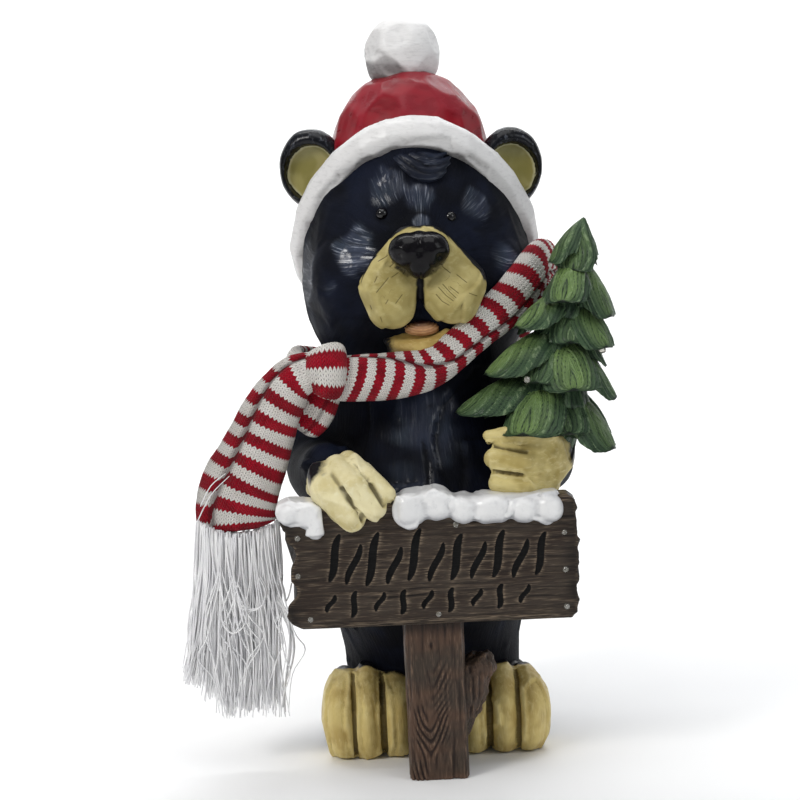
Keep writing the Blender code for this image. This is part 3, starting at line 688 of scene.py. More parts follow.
def addBody(look):
    bm = bmesh.new()
    stack(bm, body["rows"])
    limb(bm, body["leftArm"])
    limb(bm, body["rightArm"])
    piece = carved(bm, "bear_body", body, smoothing=6, seed=4)
    points = readPoints(piece)
    depth, halfWidth = body["legGroove"]
    push(piece, -depth * (np.exp(-(points[:, 0] / halfWidth) ** 2) * rise(-points[:, 2], -96, -70)))
    flow = bodyFlow(readPoints(piece))
    brushStrokes(piece, flow, body["patches"], depth=0.4, faint=0.3, dryBrushHighlight=0.25, seed=12)
    standOn(piece, 0.0)
    finishPiece(piece, look)
    return piece


eyes = {
    "places": ((-22.6, -79.0, 394.2), (24.8, -78.0, 389.8)), "radii": (4.5, 4.4, 4.3),
    "socketDepth": 0.8, "socketSpread": 40,  # the hollow round each eye, made with the head
    "black": srgb(5, 5, 8), "glint": srgb(7, 6, 9),
}
furPaint = furLook()
bearHead = addHead(furPaint)
addForelock(furPaint)
bearBody = addBody(furPaint)
headSkin = surfaceTree(bearHead)
bodySkin = surfaceTree(bearBody)
print("head and body", len(bearHead.data.polygons), len(bearBody.data.polygons))


# The hat: knife-cut red crown, white rolled brim and pompon
crown = {
    "rows": ((292, 48, 20, 24), (300, 46, 34, 38), (320, 36, 51, 53), (352, 26, 61.5, 61.5),
             (385, 20, 64, 72),
             (415, 12, 63, 72), (440, 8, 58, 63.5), (462, 6, 50, 52), (478, 5, 37, 41),
             (486, 4, 27, 31),
             (492, 3, 12, 14)),
    "centreX": -1, "nape": ((0, 36, 302), (56, 36, 31)), "voxel": 1.5, "facet": 24, "facetDepth": 1.8,
    "red": srgb(138, 10, 27), "deep": srgb(112, 7, 21), "bloom": srgb(156, 58, 68),
}
brim = {
    "centre": (0, 7, 369), "halfWidth": 79.5, "halfLength": 104, "slope": 50, "cuts": 24,
    # its section: how far out from the ring and how far forward
    "profile": ((12, -10), (14.5, 1), (10, 11.5), (1, 16.5), (-14, 11.5), (-14.5, -6), (0, -16)),
    # narrower beside the ears, deeper inside over the forehead, uneven cuts and how thick each may be
    "pinch": 0.11, "topDroop": 0.35, "uneven": 0.2, "swell": (0.85, 0.91),
    "voxel": 1.4, "facet": 27, "facetDepth": 0.8,
    "white": srgb(228, 227, 226), "grey": srgb(120, 118, 118), "wear": srgb(150, 128, 104),
}
pompon = {
    "balls": (((-3, 10, 505), (26.8, 26, 26.8)), ((-3.5, 10, 500), (27.2, 26, 21))),
    "voxel": 1.0, "facet": 21, "facetDepth": 2.0,
}


def whiteLook():
    look, tree, shader = material("white_brim_paint", 0.4, 0.4, 0.12, 0.25)
    strokes = grains(tree, (0.16, 0.16, 0.5), 3.0, 0.6, 0.4)
    streaks = between(tree, strokes, 0.45, 0.8, 0, 0.22)
    shade = reckon(tree, "MULTIPLY_ADD", "shade", 0.9, streaks)
    # each flat's tone adds a little painted shade
    shade = reckon(tree, "MULTIPLY_ADD", "tone", 0.16, shade)
    worn = times(tree, "worn", between(tree, strokes, 0.42, 0.6))
    colour = coats(tree, brim["white"], (shade, 1, brim["grey"]), (worn, 1, brim["wear"]),
                   ("hollow", 0.6, brim["grey"]))
    feed(tree, shader.inputs["Roughness"], between(tree, strokes, 0.3, 0.7, 0.32, 0.5))
    coatWith(tree, shader, colour, strokes, 0.5, 0.5)
    return look


def redLook():
    look, tree, shader = material("red_hat_paint", 0.34, 0.15, 0.04, 0.2)
    strokes = grains(tree, (0.06, 0.06, 0.12), 2.0, 0.5, 0.1)
    bloom = between(tree, grains(tree, 0.03, 1.0), 0.55, 0.75)
    # each flat's tone mixes in a pinker red, a painted reflection
    colour = coats(tree, crown["deep"], (strokes, 0.3, 0.7, 1, crown["red"]),
                   (bloom, 0.2, crown["bloom"]), ("tone", 0.5, crown["bloom"]),
                   ("ridge", 0.15, crown["bloom"]),
                   ("hollow", 0.5, crown["deep"]))
    feed(tree, shader.inputs["Roughness"], between(tree, strokes, 0.3, 0.7, 0.22, 0.4))
    coatWith(tree, shader, colour, strokes, 0.5, 0.4)
    return look


def addCrown(look):
    bm = bmesh.new()
    stack(bm, crown["rows"], crown["centreX"])
    ball(bm, *crown["nape"])
    piece = carved(bm, "hat_crown", crown, smoothing=6, seed=21)
    push(piece, 0.25 * cloud(readPoints(piece), (6, 6, 16), 31))
    reliefLayers(piece, 6, 0.7)
    finishPiece(piece, look)


def addBrim(look):
    slope = math.radians(brim["slope"])
    downBack = np.array((0, math.cos(slope), -math.sin(slope)))
    outFront = np.array((0, -math.sin(slope), -math.cos(slope)))
    centre = np.array(brim["centre"], float)
    cuts = brim["cuts"]
    hand = np.random.default_rng(9)
    angles = math.tau * (np.arange(cuts) + hand.uniform(-brim["uneven"], brim["uneven"], cuts)) / cuts
    # the upper half is pinched in beside the ears
    wide = brim["halfWidth"] * (1 - brim["pinch"] * np.sin(2 * angles) ** 2 * (np.cos(angles) > 0))
    ring = np.outer(np.sin(angles) * wide, (1, 0, 0))
    ring -= np.outer(np.cos(angles) * brim["halfLength"], downBack)
    outward = ring / np.linalg.norm(ring, axis=1)[:, None]
    swell = (hand.uniform(*brim["swell"], cuts) - 0.05 * (np.cos(angles) > 0.8))[:, None]
    # the inner face is deeper over the forehead
    inner = (1 + brim["topDroop"] * np.clip(np.cos(angles), 0, 1))[:, None]
    profile = np.array(brim["profile"] + brim["profile"][:1], float)
    gone = lengthsAlong(profile)

    # straight from each cut to the next
    def place(u, v):
        step = np.minimum((u * cuts).astype(int), cuts - 1)
        share = (u * cuts - step)[:, None]
        out = np.interp(v * gone[-1], gone, profile[:, 0])[:, None]
        forward = np.interp(v * gone[-1], gone, profile[:, 1])[:, None]
        ends = []
        for index in (step, (step + 1) % cuts):
            reach = np.maximum(out, np.minimum(out, 0) * inner[index])
            ends.append(centre + ring[index] + outFront * forward * swell[index]
                        + outward[index] * reach * swell[index])
        return ends[0] * (1 - share) + ends[1] * share, {}

    bm = bmesh.new()
    bentGrid(bm, cuts * 6, 56, place)
    piece = carved(bm, "hat_brim", brim, smoothing=2, seed=25)
    points = readPoints(piece)
    push(piece, 0.25 * cloud(points, (9, 9, 9), 3) + 0.1 * cloud(points, (3, 3, 8), 4))
    points = readPoints(piece)
    normals = evened(piece, normalsOf(piece), 2)
    inward = centre - points
    inward -= (inward @ outFront)[:, None] * outFront
    inward /= np.linalg.norm(inward, axis=1)[:, None]
    facing = (inward * normals).sum(axis=1)
    # painted shade: greyer on the inside and below; worn low down in front
    inside = 0.12 * rise(facing, -0.75, -0.5) + 0.6 * rise(facing, -0.15, 0.15)
    paintLayer(piece, "shade", np.clip(inside + 0.15 * rise(-normals[:, 2], 0.0, 0.8), 0, 1))
    low = rise(330 - points[:, 2], -14, 22) * rise(-points[:, 1], -60, 0)
    paintLayer(piece, "worn", low * np.clip(0.5 + 0.8 * cloud(points, 8, 9), 0, 1))
    reliefLayers(piece, 6, 0.6)
    finishPiece(piece, look)


def addPompon(look):
    bm = bmesh.new()
    for place, radii in pompon["balls"]:
        ball(bm, place, radii, detail=4)
    piece = carved(bm, "hat_pompon", pompon, smoothing=1, seed=44)
    points = readPoints(piece)
    push(piece, 0.4 * cloud(points, 7, 6) + 0.12 * cloud(points, 2.6, 7))
    normals = normalsOf(piece)
    # painted shade: greyer on the underside and towards the left
    paintLayer(piece, "shade", rise(-normals[:, 2] - 0.5 * normals[:, 0], 0.1, 0.6))
    paintLayer(piece, "worn", np.zeros(len(points)))
    reliefLayers(piece, 6, 0.5)
    finishPiece(piece, look)


# Ears: black rolls round a dished cream middle
ear = {
    "places": ((-71.6, -6, 424.6), (71.2, -6, 419.6)), "lean": 5, "turn": 14,
    # each ring: how far back, half-width, half-height and how far its middle is raised
    "rings": ((10, 13.5, 16.5, 0), (9, 18, 21.5, 0), (5, 22.8, 27, 0), (0, 24.4, 29.2, 0),
              (-5, 24, 28.6, 0),
              (-9, 22.2, 26, -0.6), (-10.4, 20.6, 23, -1.4), (-9, 19.6, 20.8, -2.2),
              (-4, 18.8, 19.6, -2.6),
              (-1.2, 17, 17.6, -2.6), (0.2, 13, 13, -2.6), (1, 7, 7, -2.6)),
    "dish": (18.6, 19.3, -2.6), "voxel": 0.95,
    "cream": srgb(172, 162, 102), "olive": srgb(146, 138, 76), "grey": srgb(140, 138, 106),
    "pale": srgb(216, 214, 182),
}


def earLook():
    look, tree, shader = material("ear_paint", 0.36, 0.2, 0.14, 0.14)
    mottle = grains(tree, (0.06, 0.06, 0.045), 2.0, 0.5, 0.3)
    strokes = grains(tree, (0.5, 0.5, 0.3))
    edge = reckon(tree, "ADD", "dish", between(tree, strokes, 0.3, 0.7, -0.008, 0.008))
    # the upper dish takes a painted shade
    cream = coats(tree, ear["cream"], (mottle, 0.4, 0.62, 1, ear["olive"]),
                  ("upper", 1, ear["grey"]),
                  (edge, 0.08, 0.0, 0.6, ear["pale"]))
    black = coats(tree, fur["base"], (mottle, 0.4, 0.7, 1, fur["deep"]),
                  (strokes, 0.55, 0.75, 0.12, fur["pale"]))
    colour = mixColour(tree, between(tree, edge, -0.006, 0.006), black, cream)
    feed(tree, shader.inputs["Roughness"], between(tree, edge, -0.01, 0.01, 0.26, 0.5))
    coatWith(tree, shader, colour, reckon(tree, "ADD", strokes, mottle), 0.4, 0.5)
    return look


def addEar(look, side):
    centre = Vector(ear["places"][0 if side < 0 else 1])
    turned = Euler((0, side * math.radians(ear["lean"]), side * math.radians(ear["turn"]))).to_matrix()
    bm = bmesh.new()
    rings = []
    for back, halfWidth, halfHeight, raised in smoothRoute(ear["rings"], 2):
        middle = centre + turned @ Vector((0, back, raised))
        across, up = turned @ Vector((halfWidth, 0, 0)), turned @ Vector((0, 0, halfHeight))
        rings.append(section(middle, across, up))
    loft(bm, rings, 48)
    piece = solid(bm, "left_ear" if side < 0 else "right_ear", ear["voxel"], 1)
    points = readPoints(piece)
    local = (points - np.array(centre)) @ np.array(turned)
    wide, tall, raised = ear["dish"]
    share = np.hypot(local[:, 0] / wide, (local[:, 2] - raised) / tall)
    onRim = rise(share, 0.95, 1.1)
    push(piece, onRim * (0.5 * cloud(points, 11, 3 + side) + 0.15 * cloud(points, (2.6, 5, 4), 5))
         + (1 - onRim) * 0.25 * cloud(points, 6, 8))
    facing = rise(-local[:, 1], -4.5, -2.5)
    knife = 0.03 * cloud(points, 7, 9 + side) + 0.008 * cloud(points, 2.5, 4)
    paintLayer(piece, "dish", (1 + knife - share) * facing - 0.05 * (1 - facing))
    # painted shade: greyer towards the top of the dish, under the rim
    paintLayer(piece, "upper", 0.5 * rise(local[:, 2], 4, 15))
    finishPiece(piece, look)


# Eyes: glass-smooth black domes in the fur
def addEyes():
    look, tree, shader = material("eye_gloss", 0.03, 0.5, 0.0, 0.03)
    haze = between(tree, grains(tree, 0.4), 0.3, 0.7)
    feed(tree, shader.inputs["Base Color"], mixColour(tree, haze, eyes["black"], eyes["glint"]))
    for place, name in zip(eyes["places"], ("left_eye", "right_eye")):
        bm = bmesh.new()
        ball(bm, place, eyes["radii"], detail=4)
        finishPiece(plainObject(bm, name), look)


# Muzzle: two knife-cut cream jowls, the bridge over them, the chin, the tongue and the nose
muzzle = {
    "jowls": (((-24, -92, 345, 17.5), (-18, -95, 331, 18), (-13, -97, 342, 14), (-9.5, -97, 337, 10.5),
               (-21, -92, 357, 13.5)),
              ((29, -91, 344, 19), (24, -94, 333, 18.5), (17, -97, 342, 14), (12, -97, 337, 11),
               (24, -92, 357, 14))),
    "bridge": ((-22, -87, 350, 15), (28, -87, 349, 15), (-4.5, -97, 373.5, 13),
               (11.5, -97, 372.5, 13.4)),
    "voxel": 0.75, "facet": 17, "facetDepth": 1.0, "noseAt": (1.5, 367), "cutWidth": 0.4,
    # the crease under the nose: x and z of both ends, half-width and depth
    "crease": (1.8, 350, 0.8, 320), "creaseWidth": 2.2, "creaseDepth": 1.6,
    # the black fur meets the cream above this line in front view: x and z
    "hairline": ((-40, 352), (-31.8, 361.6), (-24.2, 370.8), (-19.1, 376.6), (-14, 380.6),
                 (-6.8, 384.6), (3.3, 386),
                 (12.3, 384.6), (22.8, 377.3), (34.2, 363.4), (43.4, 352.2), (50, 340)),
    # knife marks in front view: x and z of both ends
    "cuts": ((-27, 363, -20, 367), (-19, 359, -14, 363), (-18, 352, -13, 355), (-29, 342, -20, 352),
             (-23, 334, -21, 337), (-16, 334, -11, 340), (17, 358, 23, 353), (27, 352, 34, 346),
             (22, 344, 28, 339),
             (14, 344, 19, 338), (19, 338, 24, 334), (12, 339, 16, 334), (16, 334, 21, 331),
             (17, 346, 22, 340),
             (22, 340, 26, 336), (35, 339, 41, 336), (-34, 333, -33, 330), (-27, 325, -26, 321),
             (-30, 349, -28, 353)),
    "brush": (0.1, 0.1, 0.16), "cream": srgb(190, 176, 118), "light": srgb(206, 194, 140),
    "shade": srgb(158, 144, 88), "groove": srgb(58, 50, 30), "black": srgb(13, 13, 17),
}
chin = {
    "balls": ((-15, -84, 300, 9), (14, -84, 302, 9), (0, -88, 300, 9), (0, -80, 312, 12)),
    "lip": ((-24, -83, 305.5, 2.6), (-14, -92, 302.5, 5.6), (-2, -97.5, 301.2, 6.8),
            (9, -97, 302.6, 6.6),
            (19, -91, 308.5, 5.2)),
    "cuts": ((24, 305, 27, 309),), "voxel": 0.75, "facet": 9, "facetDepth": 0.35,
    "brush": (0.25, 0.4, 0.4), "cream": srgb(192, 168, 104), "light": srgb(212, 190, 128),
    "shade": srgb(166, 138, 76),
}
tongue = {
    "place": (1.6, -90, 313.5), "radii": (12, 11, 5.6), "turn": (-12, 0, 0),
    # shallow arcs across it, one inside another: height of their middle, spacing and depth
    "arcs": (326, 2.1, 0.28),
    "colour": srgb(198, 152, 108), "brown": srgb(182, 134, 92), "groove": srgb(140, 84, 60),
    "deep": srgb(50, 26, 24),
}
nose = {
    "balls": (((-5.9, -110, 370.3), (13.6, 14.5, 12.6)), ((9.3, -110, 370.3), (13.6, 14.5, 12.6)),
              ((1.8, -109.5, 373.2), (9, 14, 10.8)), ((1.8, -109.5, 366), (13, 14, 11)),
              ((1.8, -109, 361), (9.6, 13.5, 11.5))),
    "nostrils": ((-13, 366.5), (16.5, 365)), "nostrilRadius": 3.4, "nostrilDepth": 2.0, "groove": 0.6,
    "voxel": 0.62, "facet": 10, "facetDepth": 0.15,
    "black": srgb(7, 6, 9), "worn": srgb(14, 12, 16), "deep": srgb(4, 4, 5),
}


# signed distances to the nearest of many short front-facing cuts, for carving and for paint
def cutDistances(points, cuts):
    across = np.full(len(points), 9.0)
    beyond = np.full(len(points), 9.0)
    best = np.full(len(points), 1e9)
    for x1, z1, x2, z2 in cuts:
        line = np.array((x2 - x1, z2 - z1), float)
        length = np.linalg.norm(line)
        line /= length
        away = points[:, [0, 2]] - np.array((x1, z1))
        along = away @ line
        side = away @ np.array((-line[1], line[0]))
        past = np.maximum(-along, along - length)
        total = np.abs(side) + np.maximum(past, 0) * 2
        nearer = total < best
        best[nearer] = total[nearer]
        across[nearer] = side[nearer]
        beyond[nearer] = past[nearer]
    return across, beyond


def carveCuts(piece, cuts, width, depth):
    across, beyond = cutDistances(readPoints(piece), cuts)
    facing = rise(-normalsOf(piece)[:, 1], 0.1, 0.4)
    inside = rise(-beyond, -1.0, 0.8)
    push(piece, -depth * inside * facing * np.exp(-(across / width) ** 2))
    paintLayer(piece, "cutAcross", across + (1 - facing) * 9)
    paintLayer(piece, "cutBeyond", beyond)


# the knife marks, and fine bristles round the lower edge of the nose
def whiskerCuts():
    cuts = list(muzzle["cuts"])
    noseX, noseZ = muzzle["noseAt"]
    for index in range(30):
        angle = math.radians(random.uniform(185, 355))
        if 250 < math.degrees(angle) < 290:
            continue
        reach = 17.5 - 3.5 * abs(math.sin(angle)) ** 3
        x = noseX + reach * math.cos(angle)
        z = noseZ + reach * math.sin(angle) + 1.5
        length = random.uniform(1.2, 3.0)
        cuts.append((x, z, x + length * math.cos(angle), z + length * math.sin(angle)))
    return cuts


# cream paint with dark grooves, brushed strokes, and black airbrushed where it meets the fur; the same
# black paints a few shadows
def creamLook(name, plan):
    look, tree, shader = material(name, 0.45, 0.15, 0.03, 0.25)
    strokes = grains(tree, plan["brush"], 3.0, 0.65, 0.5)
    broad = grains(tree, 0.05)
    across = reckon(tree, "ABSOLUTE", "cutAcross")
    inCut = times(tree, between(tree, across, muzzle["cutWidth"], muzzle["cutWidth"] * 0.4),
                  between(tree, "cutBeyond", 0.4, -0.4))
    fade = reckon(tree, "ADD", "airbrushAndShade", between(tree, strokes, 0.3, 0.7, -0.12, 0.12))
    # each flat's tone adds a little painted shade
    colour = coats(tree, plan["cream"], (broad, 0.38, 0.66, 1, plan["shade"]),
                   (strokes, 0.5, 0.72, 0.55, plan["light"]),
                   (strokes, 0.44, 0.26, 0.6, plan["shade"]),
                   ("ridge", 0.4, plan["light"]),
                   ("hollow", 0.08, 0.8, 0.9, muzzle["groove"]),
                   (inCut, 0.85, muzzle["groove"]), ("tone", 0.35, plan["shade"]),
                   (fade, 0.15, 0.85, 1, muzzle["black"]))
    feed(tree, shader.inputs["Roughness"], between(tree, strokes, 0.3, 0.7, 0.5, 0.34))
    coatWith(tree, shader, colour, strokes, 0.7, 0.55)
    return look


def addMuzzle(look):
    bm = bmesh.new()
    pebble(bm, muzzle["bridge"])
    for balls in muzzle["jowls"]:
        pebble(bm, balls)
    piece = carved(bm, "muzzle", muzzle, smoothing=3, seed=55, soften=3)
    points = readPoints(piece)
    topX, topZ, lowX, lowZ = muzzle["crease"]
    creaseX = np.interp(points[:, 2], (lowZ, topZ), (lowX, topX))
    wide = muzzle["creaseWidth"] * (1 + 0.5 * rise(-points[:, 2], -330, -318))
    inCrease = np.exp(-((points[:, 0] - creaseX) / wide) ** 2) * rise(-points[:, 2], -356, -351)
    push(piece, -muzzle["creaseDepth"] * inCrease * rise(-points[:, 1], 90, 100)
         + 0.05 * cloud(points, (3, 3, 7), 14))
    carveCuts(piece, whiskerCuts(), 0.6, 0.45)
    points = readPoints(piece)
    # black above the hairline and behind the snout and along the crease; close round the lower half of
    # the nose a painted shadow
    edge = np.interp(points[:, 2], (335, 352, 372, 388), (-70, -74, -82, -86))
    turned = evened(piece, normalsOf(piece), 3)[:, 1] + 0.05 * cloud(points, 5, 6)
    behind = np.maximum(rise(points[:, 1] - edge, -1.6, 1.2), rise(turned, -0.3, -0.08))
    behind *= rise(points[:, 2], 318, 335)
    line = np.array(muzzle["hairline"])
    over = points[:, 2] - np.interp(points[:, 0], line[:, 0], line[:, 1])
    behind = np.maximum(behind, rise(over + 0.5 * cloud(points, 2.5, 12), -0.6, 1.2))
    fade = np.maximum(1 - gapTo(piece, headSkin, 4) / 4, 1.3 * inCrease ** 0.7)
    # painted shadow under the nose
    noseX, noseZ = muzzle["noseAt"]
    noseShadow = np.hypot((points[:, 0] - noseX) / 19.8, (points[:, 2] - noseZ + 1) / 16.5)
    noseShadow = 0.6 * rise(-(noseShadow + 0.05 * cloud(points, 2.2, 4)), -1.03, -0.9)
    noseShadow *= rise(-points[:, 2], -371, -364)
    paintLayer(piece, "airbrushAndShade", np.maximum(np.maximum(fade, behind), noseShadow))
    reliefLayers(piece, 8, 0.9)
    finishPiece(piece, look)


def addChin(look):
    bm = bmesh.new()
    pebble(bm, chin["balls"])
    limb(bm, chin["lip"], 16, 5)
    piece = carved(bm, "chin", chin, smoothing=4, seed=61)
    points = readPoints(piece)
    carveCuts(piece, chin["cuts"], 0.7, 0.3)
    side = 0.9 * rise(-points[:, 0], 14, 25) + 0.7 * rise(points[:, 0], 20, 30)
    # painted shade: black on the inner side behind the lip, under the jowls
    inside = rise(points[:, 2], 308, 312) * rise(points[:, 1], -93, -88)
    under = rise(-points[:, 2], -296, -292)
    paintLayer(piece, "airbrushAndShade", np.clip(np.maximum(inside, under) + side, 0, 1))
    reliefLayers(piece, 8, 0.9)
    finishPiece(piece, look)


def tongueLook():
    look, tree, shader = material("tongue_paint", 0.42, 0.35, 0.15, 0.2)
    grain = grains(tree, (0.3, 0.1, 0.5), 3.0)
    # the deep colour is painted shade at the top of the tongue
    colour = coats(tree, tongue["colour"], (grain, 0.35, 0.65, 1, tongue["brown"]),
                   ("ripple", 0.4, 0.0, 0.5, tongue["groove"]),
                   ("underJowlShade", 1, tongue["deep"]))
    coatWith(tree, shader, colour, grain, 0.4, 0.5)
    return look


def addTongue(look):
    bm = bmesh.new()
    ball(bm, tongue["place"], tongue["radii"], tongue["turn"], 5)
    piece = plainObject(bm, "tongue")
    points = readPoints(piece)
    middleZ, spacing, depth = tongue["arcs"]
    arcs = np.hypot((points[:, 0] - tongue["place"][0]) * 0.8, points[:, 2] - middleZ)
    ripple = np.cos(arcs / spacing * math.tau)
    push(piece, depth * ripple + 0.1 * cloud(points, 3, 2))
    paintLayer(piece, "ripple", ripple * 0.5 + 0.5)
    # painted shade: darker towards the top, where the tongue goes in under the jowls
    paintLayer(piece, "underJowlShade", rise(points[:, 2], 314, 319))
    finishPiece(piece, look)


def noseLook():
    look, tree, shader = material("nose_gloss", 0.22, 0.12, 0.12, 0.08)
    grain = grains(tree, 0.3, 3.0)
    colour = coats(tree, nose["black"], (grain, 0.35, 0.65, 1, nose["worn"]),
                   ("hollow", 0.8, nose["deep"]))
    coatWith(tree, shader, colour, grain, 0.4, 0.5)
    return look


def addNose(look):
    bm = bmesh.new()
    for place, radii in nose["balls"]:
        ball(bm, place, radii, detail=4)
    piece = carved(bm, "nose", nose, smoothing=6, seed=71, soften=4)
    points = readPoints(piece)
    middle = np.interp(points[:, 2], (352, 382), (3.2, 1.6))
    front = rise(-points[:, 1], 110, 117)
    sink = -nose["groove"] * np.exp(-((points[:, 0] - middle) / 1.1) ** 2) * front
    radius = nose["nostrilRadius"]
    for x, z in nose["nostrils"]:
        away = np.sqrt((points[:, 0] - x) ** 2 + ((points[:, 2] - z) * 0.9) ** 2)
        sink -= nose["nostrilDepth"] * np.exp(-(away / radius) ** 2) * rise(-points[:, 1], 106, 112)
        sink += 0.4 * np.exp(-((away - radius * 1.9) / 1.6) ** 2)
    push(piece, sink + 0.1 * cloud(points, (2, 3, 2), 3))
    reliefLayers(piece, 5, 0.5)
    finishPiece(piece, look)


whitePaint = whiteLook()
addCrown(redLook())
addBrim(whitePaint)
addPompon(whitePaint)
earPaint = earLook()
addEar(earPaint, -1)
addEar(earPaint, 1)
addEyes()
addMuzzle(creamLook("cream_muzzle_paint", muzzle))
addChin(creamLook("ochre_chin_paint", chin))
addTongue(tongueLook())
addNose(noseLook())
print("hat, ears and face")


# Paws and feet: cream, with dark scored grooves between the fingers and toes
signFace = -140.0
signPaw = {
    "palm": ((-70, 40, 210, 16), (-62, 30, 214, 14), (-72, 22, 209, 12)),
    "fingers": (((-74, 22, 218, 10), (-69, 6, 206, 11), (-53, -2, 191, 9.5)),
                ((-62, 22, 222, 11.5), (-50, 0, 211, 11.5), (-35.5, -3, 197, 9)),
                ((-54, 28, 226, 9), (-39, 6, 216, 9), (-27, 0, 206.5, 7))),
    "voxel": 0.9, "facet": 12, "facetDepth": 1.1, "wrist": (-85, -123, 227), "wristReach": (8, 22),
    "brush": (0.2, 0.14, 0.2), "cream": srgb(234, 224, 180), "light": srgb(242, 236, 204),
    "shade": srgb(204, 190, 136),
    # grooves between the fingers: x and z of both ends, width and depth
    "grooves": (((-66, 221), (-58, 211), 1.6, 1.8), ((-60, 214), (-44, 188), 1.9, 2.6),
                ((-50, 227), (-39, 216), 1.1, 1.2),
                ((-41, 218), (-29, 198), 1.4, 2.2), ((-79, 214), (-70, 196), 1.0, 0.7)),
}
treePaw = {
    "palm": ((84, -92, 222, 22), (80, -112, 236, 12), (82, -112, 208, 12), (92, -96, 216, 12),
             (56, -113, 231, 8),
             (56, -113, 209, 9)),
    # each finger: how high its middle and its tip lie, x of its tip, its radius there and its depth
    "fingers": ((20, 17.5, 44, 5.6, -118), (1.0, 2.5, 47.5, 9.2, -125), (-16, -15, 50, 9.4, -125)),
    "voxel": 0.9, "facet": 12, "facetDepth": 1.1, "wrist": (112, -98, 222), "wristReach": (8, 17),
    "brush": (0.1, 0.2, 0.35), "cream": srgb(214, 198, 134), "light": srgb(230, 218, 168),
    "shade": srgb(172, 154, 92),
    "grooves": (((39.5, 235), (71, 228.7), 1.1, 2.0), ((38.8, 217.4), (67, 213.2), 1.2, 2.2)),
}
foot = {
    # x and size of each toe, and how tall the left and right foot are
    "toes": ((69, 0.94), (49, 1.0), (27.5, 0.97)), "heights": (0.98, 0.92),
    "rows": ((-3, -58, 9.6, 18), (5, -60, 12.2, 23), (14, -62, 13.4, 25.5), (32, -63, 14.4, 28),
             (48, -60, 13.4, 26.5),
             (60, -54, 11, 21), (68, -46, 6, 12)),
    "heel": (47, -20, 22), "heelRadii": (33, 50, 38), "sole": 0.0002,  # the sole's height is in metres
    "voxel": 1.15, "facet": 12, "facetDepth": 1.1, "stretch": (1, 1, 2.2),
    "brush": (0.55, 0.3, 0.07), "cream": srgb(222, 202, 132), "light": srgb(236, 222, 164),
    "shade": srgb(184, 158, 92),
    # x of each groove, its width and depth
    "grooves": ((59.2, 1.1, 1.8), (38.3, 1.5, 2.6)),
}


# grooves scored into the front: each is two ends (x, z), a width and a depth
def scoreGrooves(piece, grooves, facingLow=0.0):
    points = readPoints(piece)
    facing = rise(-normalsOf(piece)[:, 1], facingLow, facingLow + 0.3)
    sunk = np.zeros(len(points))
    for first, second, width, depth in grooves:
        across, beyond = cutDistances(points, ((*first, *second),))
        inside = rise(-beyond, -width * 1.4, width)
        sunk = np.maximum(sunk, depth * np.exp(-(across / width) ** 2) * inside)
    push(piece, -sunk * facing)
    return sunk * facing


# the cream paint looks for knife marks, which the paws and feet don't have
def noCuts(piece):
    for name in ("cutAcross", "cutBeyond"):
        paintLayer(piece, name, np.full(len(piece.data.vertices), 9.0))


def finishPaw(piece, plan, look, seed):
    sunk = scoreGrooves(piece, plan["grooves"])
    points = readPoints(piece)
    push(piece, 0.15 * cloud(points, (2.4, 4, 5), seed))
    # black round the wrist
    away = distances(points, plan["wrist"]) + 2 * cloud(points, 5, seed)
    paintLayer(piece, "airbrushAndShade", 1 - rise(away, *plan["wristReach"]))
    noCuts(piece)
    reliefLayers(piece, 9, 2.6, 0.8, sunk * 0.16)
    finishPiece(piece, look)


def addSignPaw(look):
    bm = bmesh.new()
    for balls in (signPaw["palm"], *signPaw["fingers"]):
        pebble(bm, [(x, signFace + back, z, radius) for x, back, z, radius in balls])
    piece = carved(bm, "sign_paw", signPaw, smoothing=4, seed=81)
    finishPaw(piece, signPaw, look, 81)


def addTreePaw(look):
    bm = bmesh.new()
    pebble(bm, treePaw["palm"])
    for lift, tipLift, tipX, tipRadius, y in treePaw["fingers"]:
        knuckle = (86, -112, 219 + lift, 9)
        pebble(bm, (knuckle, (68, y, 220 + lift, 9.6), (tipX, y + 3, 222 + tipLift, tipRadius)))
    piece = carved(bm, "tree_paw", treePaw, smoothing=4, seed=83)
    finishPaw(piece, treePaw, look, 83)


# a level cut just above the floor, closed again
def cutSole(piece):
    bm = bmesh.new()
    bm.from_mesh(piece.data)
    everything = bm.verts[:] + bm.edges[:] + bm.faces[:]
    cut = bmesh.ops.bisect_plane(bm, geom=everything, plane_co=(0, 0, foot["sole"]), plane_no=(0, 0, -1),
                                 clear_outer=True)["geom_cut"]
    bmesh.ops.holes_fill(bm, edges=[part for part in cut if isinstance(part, bmesh.types.BMEdge)])
    bmesh.ops.triangulate(bm, faces=[face for face in bm.faces if len(face.verts) > 4])
    bm.to_mesh(piece.data)
    bm.free()
    piece.data.shade_smooth()


